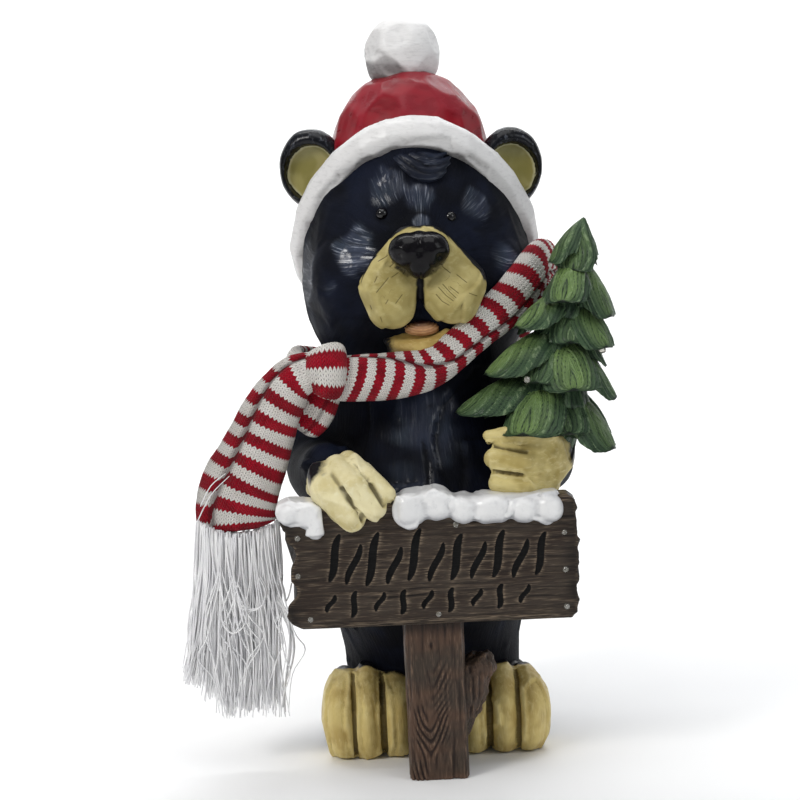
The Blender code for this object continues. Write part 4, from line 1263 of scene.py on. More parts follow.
def addFoot(look, side):
    bm = bmesh.new()
    x, y, z = foot["heel"]
    ball(bm, (side * x, y, z), foot["heelRadii"], detail=4)
    tall = foot["heights"][0 if side < 0 else 1]
    for toeX, size in foot["toes"]:
        lean = side * (2.5 if toeX > 60 else 0)
        rings = []
        for height, centreY, halfWidth, halfDepth in smoothRoute(foot["rows"], 3):
            middle = (side * toeX - lean * (1 - height / 32) ** 2, centreY, height * size * tall)
            rings.append(section(middle, (halfWidth, 0, 0), (0, halfDepth * size, 0)))
        loft(bm, rings, 24)
    piece = solid(bm, "left_foot" if side < 0 else "right_foot", foot["voxel"], 5)
    cutSole(piece)
    chisel(piece, foot["facet"], foot["facetDepth"], 90 + side, 1, foot["stretch"])
    grooves = [((side * x, 70), (side * x, -2), width, depth) for x, width, depth in foot["grooves"]]
    sunk = scoreGrooves(piece, grooves, 0.05)
    points = readPoints(piece)
    push(piece, 0.2 * cloud(points, (1.9, 3, 12), 5) + 0.12 * cloud(points, (2.2, 4, 4), 6))
    standOn(piece, 0.2)
    # black where the foot meets the legs, behind the toes and on their tops
    points = readPoints(piece)
    near = np.clip(1 - gapTo(piece, bodySkin, 8) / 7, 0, 1) * rise(-points[:, 1], 20, 60)
    top = rise(points[:, 2] + points[:, 1] * 0.35 + 1.2 * cloud(points, 6, 4), 42, 46.5)
    paintLayer(piece, "airbrushAndShade", np.clip(near + rise(points[:, 1], -50, -36) + top, 0, 1))
    noCuts(piece)
    reliefLayers(piece, 8, 1.2, 0.8, sunk * 0.42)
    finishPiece(piece, look)


addSignPaw(creamLook("cream_paw_paint", signPaw))
addTreePaw(creamLook("ochre_paw_paint", treePaw))
toePaint = creamLook("toe_paint", foot)
addFoot(toePaint, -1)
addFoot(toePaint, 1)
print("paws and feet")


# The sign: a ragged plank with raised grain, painted strokes, snow on its edge and beads let in
sign = {
    "width": 204, "height": 87, "front": -140, "back": -118, "top": 200,
    "leftEnd": ((0.0, 12), (0.04, 6), (0.10, 3.5), (0.16, 1.5), (0.22, 4), (0.28, 9), (0.34, 10),
                (0.40, 5.5),
                (0.50, 6.5), (0.60, 10), (0.66, 9), (0.72, 4), (0.80, 3), (0.86, 0), (0.93, 1.5),
                (0.97, 3), (1.0, 6)),
    "rightEnd": ((0.0, 7), (0.05, 2.5), (0.15, 1), (0.30, 1.5), (0.50, 0.5), (0.65, 0), (0.75, 1.5),
                 (0.90, 0.5),
                 (0.96, 1.5), (1.0, 6)),
    "columns": 236, "rows": 128, "edgeRound": 3.4,
    "grain": (0.035, 0.2, 0.62),
    "brown": srgb(48, 38, 31), "dark": srgb(21, 16, 13), "light": srgb(136, 119, 99),
    "grey": srgb(62, 53, 45), "end": srgb(26, 21, 18), "stroke": srgb(3, 3, 3),
    # two rows of slanted strokes in place of the inscription: middle x and z, length and width of each
    "strokes": ((-66, 163, 31, 6.4), (-53, 158, 27, 5.4), (-40, 161, 35, 6.6), (-25, 156, 25, 5.6),
                (-11, 163, 34, 6.4),
                (4, 157, 26, 5.4), (18, 160, 30, 6.6), (33, 157, 25, 5.4), (47, 161, 31, 6.4),
                (62, 157, 26, 5.6),
                (76, 160, 28, 6.0),
                (-70, 131, 12, 4.4), (-54, 130, 17, 5.0), (-36, 131, 13, 4.4), (-20, 130, 16, 5.0),
                (-3, 131, 13, 4.4),
                (13, 130, 16, 5.0), (31, 131, 12, 4.4), (47, 131, 16, 5.0), (64, 132, 13, 4.4)),
    "strokeLean": 18, "strokeDepth": 1.3,
}


def inset(rows, share):
    shares, insets = zip(*rows)
    return np.interp(share, shares, insets)


# below zero inside a stroke, in units: leaning leaf shapes, thick in the middle
def strokeField(points):
    lean = math.radians(sign["strokeLean"])
    field = np.full(len(points), 9.0)
    for index, (x, z, length, width) in enumerate(sign["strokes"]):
        half, wide = length / 2, width / 2
        dx, dz = points[:, 0] - x, points[:, 2] - z
        along = dx * math.sin(lean) + dz * math.cos(lean)
        across = dx * math.cos(lean) - dz * math.sin(lean)
        bend = 1.6 * np.sin(along / half * 2.2) * (1 if index % 2 else -1)
        body = wide * 0.86 * np.sqrt(np.clip(1 - (np.abs(along) / (half * 1.12)) ** 2.6, 0, 1))
        ends = np.maximum(np.abs(along) - half * 1.1, 0)
        field = np.minimum(field, np.abs(across - bend) - body + ends)
    return field


# long wavy grain along x, finer lines between the deep ones
def grainHeight(points, seed):
    wander = points.copy()
    wander[:, 2] += 1.6 * cloud(points * np.array((1, 0, 1)), (34, 1, 14), seed)
    deep = cloud(wander * np.array((1, 0.2, 1)), (46, 6, 2.6), seed + 1)
    fine = cloud(wander * np.array((1, 0.2, 1)), (22, 4, 1.25), seed + 2)
    return np.minimum(deep * 1.7, 0.55) + 0.45 * fine


def woodLook(name, plan):
    look, tree, shader = material(name, 0.5, 0.2, 0.05, 0.3)
    lines = grains(tree, plan["grain"], 4.0, 0.65, 0.35)
    fine = grains(tree, [value * 2.6 for value in plan["grain"]], 2.0, 0.6)
    broad = grains(tree, (0.02, 0.02, 0.05))
    ridge = times(tree, "ridge", between(tree, fine, 0.4, 0.66))
    ink = between(tree, "ink", 0.22, -0.22)
    # dirt and painted shade take the dark end colour
    colour = coats(tree, plan["brown"], (broad, 0.36, 0.66, 1, sign["grey"]),
                   (lines, 0.5, 0.3, 0.75, plan["dark"]), (ridge, 1, plan["light"]),
                   (fine, 0.58, 0.78, 0.5, plan["light"]),
                   ("hollow", 0.0, 0.75, 0.92, plan["dark"]),
                   ("dirtAndShade", 1, sign["end"]), (ink, 1, sign["stroke"]))
    dull = between(tree, fine, 0.3, 0.7, 0.56, 0.38)
    feed(tree, shader.inputs["Roughness"], reckon(tree, "MULTIPLY_ADD", ink, 0.3, dull))
    coatWith(tree, shader, colour, reckon(tree, "MULTIPLY_ADD", fine, 0.5, lines), 0.9, 0.75)
    return look


# the plank is a grid wrapped round its front and its long edges, with the ends drawn in last
def addBoard(look):
    thick = sign["back"] - sign["front"]
    bottom = sign["top"] - sign["height"]
    corner = sign["edgeRound"]
    bm = bmesh.new()

    # the way round the plank from the middle of its back: share of height and depth from the front
    turns = [(0.5, thick), (0.04, thick), (0.0, thick - corner * 0.6)]
    turns += [(0.0, corner), (0.012, corner * 0.3), (0.04, 0.0)]
    turns += [(0.04 + 0.92 * step / sign["rows"], 0.0) for step in range(1, sign["rows"])]
    turns += [(0.96, 0.0), (0.988, corner * 0.3), (1.0, corner)]
    turns += [(1.0, thick - corner * 0.6), (0.96, thick)]
    count = len(turns)

    def place(u, v):
        index = np.round(v * count).astype(int) % count
        share, depth = np.array(turns)[index].T
        left = -sign["width"] / 2 + inset(sign["leftEnd"], share)
        right = sign["width"] / 2 - inset(sign["rightEnd"], share)
        points = (left + (right - left) * u, sign["front"] + depth, bottom + sign["height"] * share)
        return np.stack(points, axis=1), {}

    bentGrid(bm, sign["columns"], count, place)
    bmesh.ops.holes_fill(bm, edges=[edge for edge in bm.edges if edge.is_boundary])
    caps = [face for face in bm.faces if len(face.verts) > 6]
    bmesh.ops.inset_region(bm, faces=caps, thickness=1.2 * unit, depth=0.5 * unit)
    bmesh.ops.triangulate(bm, faces=caps)
    piece = plainObject(bm, "sign_board")
    points = readPoints(piece)
    normals = normalsOf(piece)
    ink = strokeField(points)
    facing = rise(-normals[:, 1], 0.2, 0.7)
    nearEnd = rise(np.abs(points[:, 0]), 88, 101)
    height = grainHeight(points, 3) * (0.62 + 0.35 * nearEnd)
    height *= rise(ink, -0.6, 0.9) * (0.25 + 0.75 * facing)
    ragged = nearEnd * (1 - facing) * 1.3 * cloud(points, (6, 12, 3.2), 8)
    push(piece, height * 0.95 + ragged - sign["strokeDepth"] * rise(-ink, -0.35, 0.6) * facing)
    paintLayer(piece, "ink", ink + (1 - facing) * 9)
    # dirtier towards the ragged ends; darker along the bottom edge as painted shade
    dirtAndShade = np.clip(nearEnd * 0.8 + 0.5 * cloud(points, (16, 9, 9), 4) * nearEnd, 0, 0.85)
    paintLayer(piece, "dirtAndShade", np.maximum(dirtAndShade, 0.6 * rise(-points[:, 2], -119, -114)))
    reliefLayers(piece, 4, 0.4)
    finishPiece(piece, look)
    return piece


# The post: upright grain with a nested flame figure low down, and a broken branch at its side
post = {
    "width": 41, "front": -134, "back": -88, "top": 143, "voxel": 0.85,
    # the branch and its broken top: x, how far back, z and radius
    "stubs": (((8, 0, 26, 12), (17, 0, 50, 16), (23, 0, 66, 17), (31, 0, 74, 12)),
              ((31, 0, 72, 10), (35, 0, 79, 7.5), (34, -2, 83, 5))),
    # the hollow between post and branch: x, z and radius
    "hollow": (32, 91, 8.5),
    # the flame's middle line, as z and x low down and high up, its top, the step of its arcs and the knot
    "flameX": ((11, -5.8), (100, -0.5)), "flameTop": 98, "flameStep": 9, "knot": (-2.5, 97),
    "heights": (0, 0.5, 12, 40, 80, 120),
    "grain": (0.5, 0.5, 0.04), "brown": srgb(84, 63, 50), "dark": srgb(38, 27, 22),
    "light": srgb(122, 98, 80),
}


def addPost(look):
    half = post["width"] / 2
    centreY = (post["front"] + post["back"]) / 2
    deep = (post["back"] - post["front"]) / 2
    bm = bmesh.new()
    rings = []
    for height in (*post["heights"], post["top"]):
        flare = 0.6 * math.sin(height * 0.06) - (0.8 if height == 0 else 0)
        wide, back = half * 1.32 + flare, deep * 1.32 + flare
        rings.append(section((0, centreY, height), (wide, 0, 0), (0, back, 0)))
    loft(bm, rings, 32)
    # the oval rings are pressed flat on all four sides
    for vert in bm.verts:
        vert.co.x = max(-half * unit, min(half * unit, vert.co.x))
        vert.co.y = max(post["front"] * unit, min(post["back"] * unit, vert.co.y))
    for knots in post["stubs"]:
        limb(bm, [(out, centreY + back, z, radius) for out, back, z, radius in knots], 18, 4)
    piece = solid(bm, "sign_post", post["voxel"], 3)
    points = readPoints(piece)
    x, z = points[:, 0], points[:, 2]
    # a bitten hollow where the branch leaves the post
    hollowX, hollowZ, hollowRadius = post["hollow"]
    away = np.hypot(x - hollowX, z - hollowZ)
    bite = rise(x, 19, 23) * rise(-away, -hollowRadius, -hollowRadius * 0.4)
    points[:, 0] -= bite * 3.5
    points[:, 2] -= bite * 3.0
    writePoints(piece, points)
    x, z = points[:, 0], points[:, 2]
    # nested arcs that hang from the upper middle, as the grain shows in a plank cut through a knot
    (lowZ, lowX), (highZ, highX) = post["flameX"]
    out = np.abs(x - np.interp(z, (lowZ, highZ), (lowX, highX)) + 0.8 * cloud(points, (14, 14, 16), 7))
    flame = rise(-z, -post["flameTop"], -post["flameTop"] + 30) * rise(-out, -16, -11)
    arcs = (z - 3 * (np.sqrt(out ** 2 + 9) - 3)) / post["flameStep"]
    phase = arcs + 0.8 * cloud(points, (12, 12, 22), 13)
    nested = np.sin(phase * math.tau) * np.clip(0.4 + 0.9 * cloud(points, (7, 7, 14), 15), 0.1, 0.8)
    upright = cloud(points + 1.5 * cloud(points, (18, 18, 40), 7)[:, None], (2.6, 2.6, 46), 9)
    fine = cloud(points, (1.7, 1.7, 16), 10)
    onStub = rise(x, 20, 24)
    knotX, knotZ = post["knot"]
    fromKnot = np.hypot(x - knotX, (z - knotZ) * 0.5)
    height = (1 - flame) * np.minimum(upright * 1.6, 0.6) + flame * np.minimum(nested, 0.6) + 0.3 * fine
    height -= 1.4 * np.exp(-(fromKnot / 1.5) ** 2)
    push(piece, height * 0.9 + onStub * 0.7 * cloud(points, (5, 5, 5), 11))
    standOn(piece, 0.1)
    points = readPoints(piece)
    paintLayer(piece, "ink", np.full(len(points), 9.0))
    # painted shade: darker under the plank, in the bitten hollow and towards the back
    paintLayer(piece, "dirtAndShade", np.clip(0.75 * rise(points[:, 2], 100, 113) + 0.4 * bite
                                      + 0.5 * rise(points[:, 1], -120, -96), 0, 0.85))
    reliefLayers(piece, 5, 0.45)
    finishPiece(piece, look)


# Snow: soft lumps run together along the plank's top edge
snow = {
    # each lump: its left, right, lowest, highest and half-depth
    "left": ((-105, -86, 185.5, 204.5, 19), (-94, -72.5, 183, 203.5, 19), (-85, -71.5, 175, 194, 18)),
    "right": ((-24.5, 0.5, 181, 208, 19.5), (-5.5, 18.5, 184, 210, 19), (12.5, 34.5, 181, 204.5, 19.5),
              (28.5, 59.5, 180, 204.5, 19), (53.5, 77.5, 179.5, 202.5, 19.5),
              (71.5, 95, 180, 203.5, 19),
              (-18, 90, 185, 203.5, 15.5)),
    "corner": 10.5, "voxel": 0.9, "facet": 13, "facetDepth": 1.2,
    "white": srgb(240, 240, 239), "grey": srgb(176, 177, 181), "deep": srgb(110, 112, 118),
}


def snowLook():
    look, tree, shader = material("snow_paint", 0.3, 0.45, 0.3, 0.12)
    grain = grains(tree, 0.2, 3.0, 0.6, 0.4)
    # each flat's tone adds a little painted shade
    shade = reckon(tree, "MULTIPLY_ADD", "tone", 0.25, "shade")
    shade = reckon(tree, "ADD", shade, between(tree, grain, 0.5, 0.75, 0, 0.2))
    colour = coats(tree, snow["white"], (shade, 1, snow["grey"]),
                   ("hollow", 0.15, 0.9, 0.8, snow["deep"]))
    coatWith(tree, shader, colour, grain, 0.7, 0.6)
    return look


def addSnow(look, boardSkin):
    face = (sign["front"] + sign["back"]) / 2
    hand = random.Random(3)
    for side in ("left", "right"):
        bm = bmesh.new()
        for left, right, low, high, halfDepth in snow[side]:
            corner = min(snow["corner"], (right - left) / 2 - 1, (high - low) / 2 - 1)
            deep = halfDepth - corner
            corners = [(x, face + back, z) for x in (left + corner, right - corner)
                       for z in (low + corner, high - corner) for back in (-deep, deep)]
            pebble(bm, [(x, y, z + hand.uniform(-1, 0.5), corner) for x, y, z in corners])
        piece = carved(bm, f"{side}_snow", snow, smoothing=5, seed=33, soften=2)
        points = readPoints(piece)
        push(piece, 0.3 * cloud(points, 6, 5) + 0.12 * cloud(points, 2.5, 6))
        normals = normalsOf(piece)
        near = np.clip(1 - gapTo(piece, boardSkin, 5) / 5, 0, 1)
        # painted shade: greyer underneath and where the snow meets the plank
        paintLayer(piece, "shade", np.clip(0.6 * rise(-normals[:, 2], 0.0, 0.9) + 0.5 * near, 0, 1))
        reliefLayers(piece, 8, 0.8)
        finishPiece(piece, look)


# Lamp beads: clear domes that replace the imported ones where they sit
bead = {
    "sides": 20, "radius": 2.3,
    # its outline: how far out of the surface, and the share of the radius there
    "outline": ((-5.5, 0.9), (-3, 1.0), (-0.8, 1.0), (0.1, 0.93), (0.8, 0.75), (1.25, 0.45),
                (1.4, 0.12)),
    # the beads on the fir's far side face out from its stem
    "stem": (110, -82, 0), "farSide": 100,
    "clear": srgb(236, 234, 226), "milky": srgb(190, 186, 172),
}


def addBeads():
    look, tree, shader = material("clear_bead_gloss", 0.05, 0.6)
    shader.inputs["Transmission Weight"].default_value = 0.7
    shader.inputs["IOR"].default_value = 1.5
    core = between(tree, grains(tree, 0.35), 0.35, 0.65)
    feed(tree, shader.inputs["Base Color"], mixColour(tree, core, bead["clear"], bead["milky"]))
    for name in [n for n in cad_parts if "_light_" in n]:
        lowest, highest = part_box(name)
        middle = (lowest + highest) / 2 / unit
        facing = Vector((0, -1, 0))
        if name.startswith("tree") and middle.x > bead["farSide"]:
            facing = Vector((middle.x, middle.y, 0)) - Vector(bead["stem"])
            facing.normalize()
        outer = middle + facing * ((highest - lowest).length / unit * 0.25)
        side = facing.cross((0, 0, 1)).normalized()
        bm = bmesh.new()
        rings = []
        for depth, share in bead["outline"]:
            radius = bead["radius"] * share * 0.97
            place = outer + facing * (depth - 0.6)
            rings.append(section(place, side * radius, side.cross(facing) * radius))
        loft(bm, rings, bead["sides"])
        finishPiece(plainObject(bm, f"bead_{name}"), look, "clear_bead", name)


signBoard = addBoard(woodLook("plank_paint", sign))
addPost(woodLook("post_paint", post))
addSnow(snowLook(), surfaceTree(signBoard))
addBeads()
print("sign, post, snow and beads")


# The fir: thick drooping boughs round a solid core, all combed with needles
fir = {
    "foot": (80, -82, 225), "apex": (118.5, -80, 386.5),
    # each bough: height of its root up the stem, its tip, half-width, how pointed and how much painted
    # sunlight it takes
    "boughs": ((165, (92.5, -88, 356.5), 14, 0.7, 0.5), (165, (126.5, -80, 353), 13, 0.8, 0.3),
               (165, (108, -98, 351), 15, 0.35, 0.5), (165, (112, -62, 352), 15, 0.6, 0.4),
               (141, (99, -112, 331), 16.5, 0.2, 1.0), (141, (134, -94, 317), 19, 0.85, 0.6),
               (141, (87, -78, 331), 14, 0.5, 0.2), (141, (112, -48, 326), 17, 0.6, 0.5),
               (115, (67, -100, 313), 19, 0.7, 0.9), (115, (129, -106, 297), 18, 0.7, 0.7),
               (115, (132, -64, 300), 18, 0.8, 0.4), (115, (96, -42, 300), 19, 0.5, 0.6),
               (115, (70, -64, 306), 17, 0.7, 0.4), (112, (104, -110, 302), 15, 0.4, 0.2),
               (89, (44, -101, 281), 23, 0.75, 0.9), (87, (104, -125, 271), 21, 0.2, 1.0),
               (89, (137, -88, 259), 22, 0.9, 0.3), (84, (78, -116, 276), 17, 0.4, 0.2),
               (89, (96, -38, 266), 22, 0.5, 0.6), (89, (52, -56, 276), 20, 0.7, 0.5),
               (57, (22, -97, 254.5), 26, 0.85, 0.5), (56, (67, -136, 243), 22.5, 0.1, 1.0),
               (57, (132, -104, 225), 25, 0.9, 0.5), (52, (100, -122, 240), 21, 0.5, 0.2),
               (57, (131, -58, 232), 22, 0.9, 0.4), (57, (86, -32, 236), 24, 0.5, 0.6),
               (57, (40, -50, 246), 22, 0.8, 0.5), (104, (131, -84, 281), 12, 0.9, 0.1)),
    # width along a bough, for a blunt one and a pointed one
    "blunt": ((0, 0.0), (0.03, 0.3), (0.2, 0.66), (0.5, 0.95), (0.75, 1.0), (0.9, 0.84), (0.97, 0.55),
              (1.0, 0.0)),
    "pointed": ((0, 0.0), (0.03, 0.4), (0.2, 0.8), (0.42, 1.0), (0.65, 0.92), (0.85, 0.62),
                (0.96, 0.3), (1.0, 0.0)),
    "around": 70, "long": 44, "needle": 4.0, "needleDepth": 1.5,
    # how far the boughs arch over in degrees, how their hems hang and how level each tier is below
    "arch": 82, "hang": 0.9, "level": 0.25, "skirt": 0.85,
    # angle between needles and spine on a blunt bough, and how much more on a pointed one
    "comb": (12, 24),
    # the core: height up the stem and radius
    "core": ((0, 0.1), (0.5, 20), (3, 26), (16, 26), (37, 20), (34, 32), (48, 25), (72, 14), (69, 23),
             (80, 18),
             (98, 11), (95, 21), (108, 16), (130, 9), (128, 14.5), (140, 10.5), (152, 6), (166, 0.4)),
    "coreNeedles": 30, "coreAround": 120, "coreLong": 78,
    "deep": srgb(18, 28, 20), "moss": srgb(42, 64, 46),
    "dark": srgb(37, 56, 40), "mid": srgb(76, 101, 70), "light": srgb(120, 148, 84),
    "tip": srgb(160, 180, 138),
}


# needle ridges from 0 in the cuts to 1: thin cuts, and strands of uneven height
def needleRidge(strand, seed):
    tall = 0.72 + 0.28 * np.sin(np.floor(strand + 0.5) * 2.4 + seed)
    return np.abs(np.cos(strand * math.pi)) ** 0.5 * tall


def stem():
    foot, apex = np.array(fir["foot"], float), np.array(fir["apex"])
    return foot, (apex - foot) / np.linalg.norm(apex - foot)


def addBough(bm, height, tip, halfWidth, pointed, light, seed):
    foot, axis = stem()
    root = foot + axis * height
    reach = np.array(tip) - root
    up = np.array((0, 0, 1))
    side = np.cross(up, reach)
    side /= np.linalg.norm(side)
    out = np.cross(side, up)
    length = np.linalg.norm(reach)
    comb = math.radians(fir["comb"][0] + fir["comb"][1] * pointed)
    arch = math.radians(fir["arch"])
    blunt, sharp = np.array(fir["blunt"]), np.array(fir["pointed"])

    def place(u, v):
        wide = np.interp(v, *blunt.T) * (1 - pointed) + np.interp(v, *sharp.T) * pointed
        # the saddle from hem to hem takes most of the columns, the flat underside the rest
        over = u <= 0.86
        turn = np.where(over, u / 0.43 - 1, 1 - (u - 0.86) / 0.07) * arch
        hem = np.abs(turn) / arch
        across = halfWidth * wide
        # the needles run out and down from the spine, a little wavy and unevenly thick
        track = v * length * math.sin(comb) - hem * halfWidth * 1.35 * math.cos(comb)
        track = track + 0.1 * halfWidth * np.sin(turn)
        track = track + 1.1 * np.sin(v * 5 + hem * 2.5 + seed) + 0.5 * np.sin(v * 13 + seed * 2) + 40
        strand = track + 1.1 * np.sin(track * 0.33 + seed) + 0.5 * np.sin(track * 0.9 + seed * 2)
        strand = strand / fir["needle"]
        ridge = needleRidge(strand, seed) * rise(wide, 0.02, 0.3)
        ends = rise(hem, 0.75, 1.0) * ridge
        # the hem hangs by its width, and where the spine is high down to near the level of the tip
        high = np.maximum(root[2] + reach[2] * v - tip[2], 0) * fir["skirt"] * rise(wide, 0, 0.6)
        full = np.maximum(across * fir["hang"] * (1 - math.cos(arch)), high)
        droop = full * np.where(over, (1 - np.cos(turn)) / (1 - math.cos(arch)), 0.8 + 0.2 * hem ** 2)
        sunk = np.where(over, fir["needleDepth"] * (ridge - 0.6), -0.5) * rise(wide, 0.0, 0.35)
        lateral = across * np.sin(turn) * (1 + 0.05 * ends) + np.sin(turn) * sunk
        bowed = length * 0.1 * np.sin(v * math.pi)
        rising = np.cos(turn) * sunk - droop - ends * 1.6 * wide
        points = (root + reach * v[:, None] + up * bowed[:, None] + side * lateral[:, None]
                  + up * rising[:, None] + out * (ends * wide * 1.2)[:, None])
        # the hem stays near the level of the tip, so that each tier is flat below
        drop = np.minimum(points[:, 2] - tip[2] + 1, 0)
        points[:, 2] -= drop * (1 - fir["level"])
        # painted light: the upper middle of the saddle is painted sunlit; the flat underside gets a low
        # ridge value, which paints it in deep shade
        sunlit = np.where(over, light * rise(-hem, -0.8, -0.15) * rise(v, 0.2, 0.55), 0)
        return points, {"ridgeLine": np.where(over, ridge, 0.15), "sunlit": sunlit, "track": track}

    bentGrid(bm, fir["around"], fir["long"], place)


def addCore(bm):
    foot, along = stem()
    right = np.cross((0, 1, 0), along)
    ahead = np.cross(along, right)
    rows = np.array(fir["core"], float)
    gone = lengthsAlong(rows)

    def place(u, v):
        height = np.interp(v * gone[-1], gone, rows[:, 0])
        radius = np.interp(v * gone[-1], gone, rows[:, 1])
        turn = u * math.tau
        strand = u * fir["coreNeedles"] + 0.5 * np.sin(turn * 5 + height * 0.1)
        ridge = needleRidge(strand, 0) * rise(radius, 1, 8)
        radius = radius + 1.2 * (ridge - 0.6)
        points = (foot + along * height[:, None] + right * (radius * np.cos(turn))[:, None]
                  + ahead * (radius * np.sin(turn))[:, None])
        return points, {"ridgeLine": ridge * 0.8, "sunlit": 0 * u, "track": strand * fir["needle"]}

    bentGrid(bm, fir["coreAround"], fir["coreLong"], place)


def firLook():
    look, tree, shader = material("fir_paint", 0.4, 0.22, 0.12, 0.16)
    broad = grains(tree, 0.035)
    brush = grains(tree, (0.4, 0.4, 0.12), 3.0, 0.6, 0.4)
    ridge = layerOf(tree, "ridgeLine")
    # fine hairs between the cuts
    wavy = reckon(tree, "MULTIPLY_ADD", "track", 5.2, times(tree, brush, 14.0))
    hairs = reckon(tree, "SINE", wavy)
    sunlit = times(tree, "sunlit", between(tree, broad, 0.3, 0.6, 0.55, 1.0))
    lit = times(tree, sunlit, between(tree, ridge, 0.1, 0.55))
    tips = times(tree, between(tree, ridge, 0.6, 0.95), between(tree, brush, 0.48, 0.64))
    # painted light: sunlit greens, pale crest tips that are partly dry-brushed paint and partly a painted
    # highlight, and deep green in the needle cuts and as painted shade under the boughs
    colour = coats(tree, fir["dark"], (broad, 0.35, 0.65, 1, fir["moss"]),
                   (ridge, 0.2, 0.75, 0.9, fir["mid"]), (lit, 1, fir["light"]),
                   (hairs, 0.0, 0.9, 0.3, fir["dark"]), (tips, 0.5, fir["tip"]),
                   (ridge, 0.3, 0.08, 0.8, fir["deep"]))
    feed(tree, shader.inputs["Roughness"], between(tree, brush, 0.3, 0.7, 0.34, 0.5))
    coatWith(tree, shader, colour, reckon(tree, "MULTIPLY_ADD", hairs, -0.45, brush), 0.6, 0.7)
    return look


def addFir(look):
    bm = bmesh.new()
    for name in ("ridgeLine", "sunlit", "track"):
        bm.verts.layers.float.new(name)
    for seed, bough in enumerate(fir["boughs"]):
        addBough(bm, *bough, seed + 1)
    addCore(bm)
    piece = plainObject(bm, "fir_tree")
    push(piece, 0.35 * cloud(readPoints(piece), 5, 3))
    finishPiece(piece, look)
    return piece


firTree = addFir(firLook())
print("fir tree", len(firTree.data.polygons))


# The scarf: soft flat tubes of knitted stripes, tied at the bear's right shoulder
scarf = {
    "flat": (0.055, 0.93), "stitch": 2.6, "course": 2.15, "stripe": 7.4,
    # wool nearer to the figure than this is moved this far off it, and looked for this deep inside
    "near": 0.5, "off": 0.6, "deepest": 9,
    "red": srgb(174, 7, 36), "darkRed": srgb(138, 5, 27), "deepRed": srgb(112, 4, 21),
    "white": srgb(244, 240, 234), "cream": srgb(222, 214, 206), "speck": srgb(96, 84, 80),
    "crease": srgb(60, 8, 18),
}
# each tube: knots of its route, steps between two of them, columns round it, width of its stripes and
# where they begin, depth of its crease and how far the stripes on its two sides are offset, length of
# its rounded ends, and its waves; a knot's last two numbers are shares of the width and thickness
wrap = {
    "route": ((-66, -97, 283), (-48, -100, 282), (-14, -104, 283.5), (6, -102, 287.5), (24, -97, 298),
              (43, -88, 312.5), (60, -79, 325), (74, -71, 339), (84, -58, 350), (92, -34, 353),
              (99, 2, 345),
              (92, 42, 322), (69, 70, 294), (30, 82, 271), (-12, 83, 264), (-54, 71, 267),
              (-84, 38, 274),
              (-92, -8, 279), (-86, -54, 280), (-70, -84, 283)),
    "width": 31, "thickness": 15, "steps": 22, "columns": 132, "stripe": 7.4, "start": 2.5,
    "crease": 2.8, "offset": 0.86, "cap": 9, "wave": 0.55, "seed": 1,
    # the crease's turn round the section, by the distance along
    "fold": ((0, 22, 45, 66, 90, 130, 190, 300), (1.45, 1.3, 0.95, 0.25, -0.35, -0.55, -0.62, -0.7)),
    # how the stripes are spaced: distance along, and the same distance as the stripes have it
    "stretch": ((0, 75, 120, 300, 560), (0, 83.5, 127, 278, 515)),
}
tail = {
    "route": ((-70, -98, 290, 0.42, 0.8), (-80, -101, 288, 0.52, 1.0), (-92, -99, 281, 0.62, 1.0),
              (-105, -95, 262, 0.76, 1.0), (-114, -91, 243, 0.86, 0.95), (-122.5, -88, 225, 0.96, 0.95),
              (-132.5, -84, 204, 1.09, 0.9), (-136.5, -81, 186, 1.1, 0.86),
              (-135.5, -80, 173.5, 1.02, 0.8)),
    "width": 54, "thickness": 16, "steps": 15, "columns": 124, "stripe": 8.6, "start": 6,
    "crease": 2.4, "offset": 0.9, "cap": 5, "wave": 0.9, "seed": 3,
    "fold": ((0, 0.12, 0.4, 0.75, 0.95, 1), (-0.9, -0.72, -0.5, -0.42, -0.6, -0.9)),
}
backTail = {
    "route": ((-67, -92, 281, 0.5, 0.7), (-73, -91, 270, 0.6, 0.7), (-81, -90, 257, 0.64, 0.7),
              (-89, -88, 246, 0.5, 0.7)),
    "width": 54, "thickness": 16, "steps": 14, "columns": 88, "stripe": 8.6, "start": 3,
    "crease": 1.6, "offset": 0.0, "cap": 5, "wave": 0.8, "seed": 5, "fold": ((0, 1), (0.5, 0.5)),
}
knot = {
    "route": ((-67, -95, 303, 0.84, 0.9), (-67, -102, 298, 0.95, 1.0), (-67, -106, 289, 0.95, 1.1),
              (-68, -104, 279, 0.84, 1.0), (-69, -97, 272, 0.7, 0.8)),
    "width": 33, "thickness": 15, "steps": 9, "columns": 72, "stripe": 8.6, "start": 5,
    "crease": 0.8, "offset": 0.0, "cap": 6, "wave": 0.6, "seed": 7, "fold": ((0, 1), (-1.2, -1.2)),
}


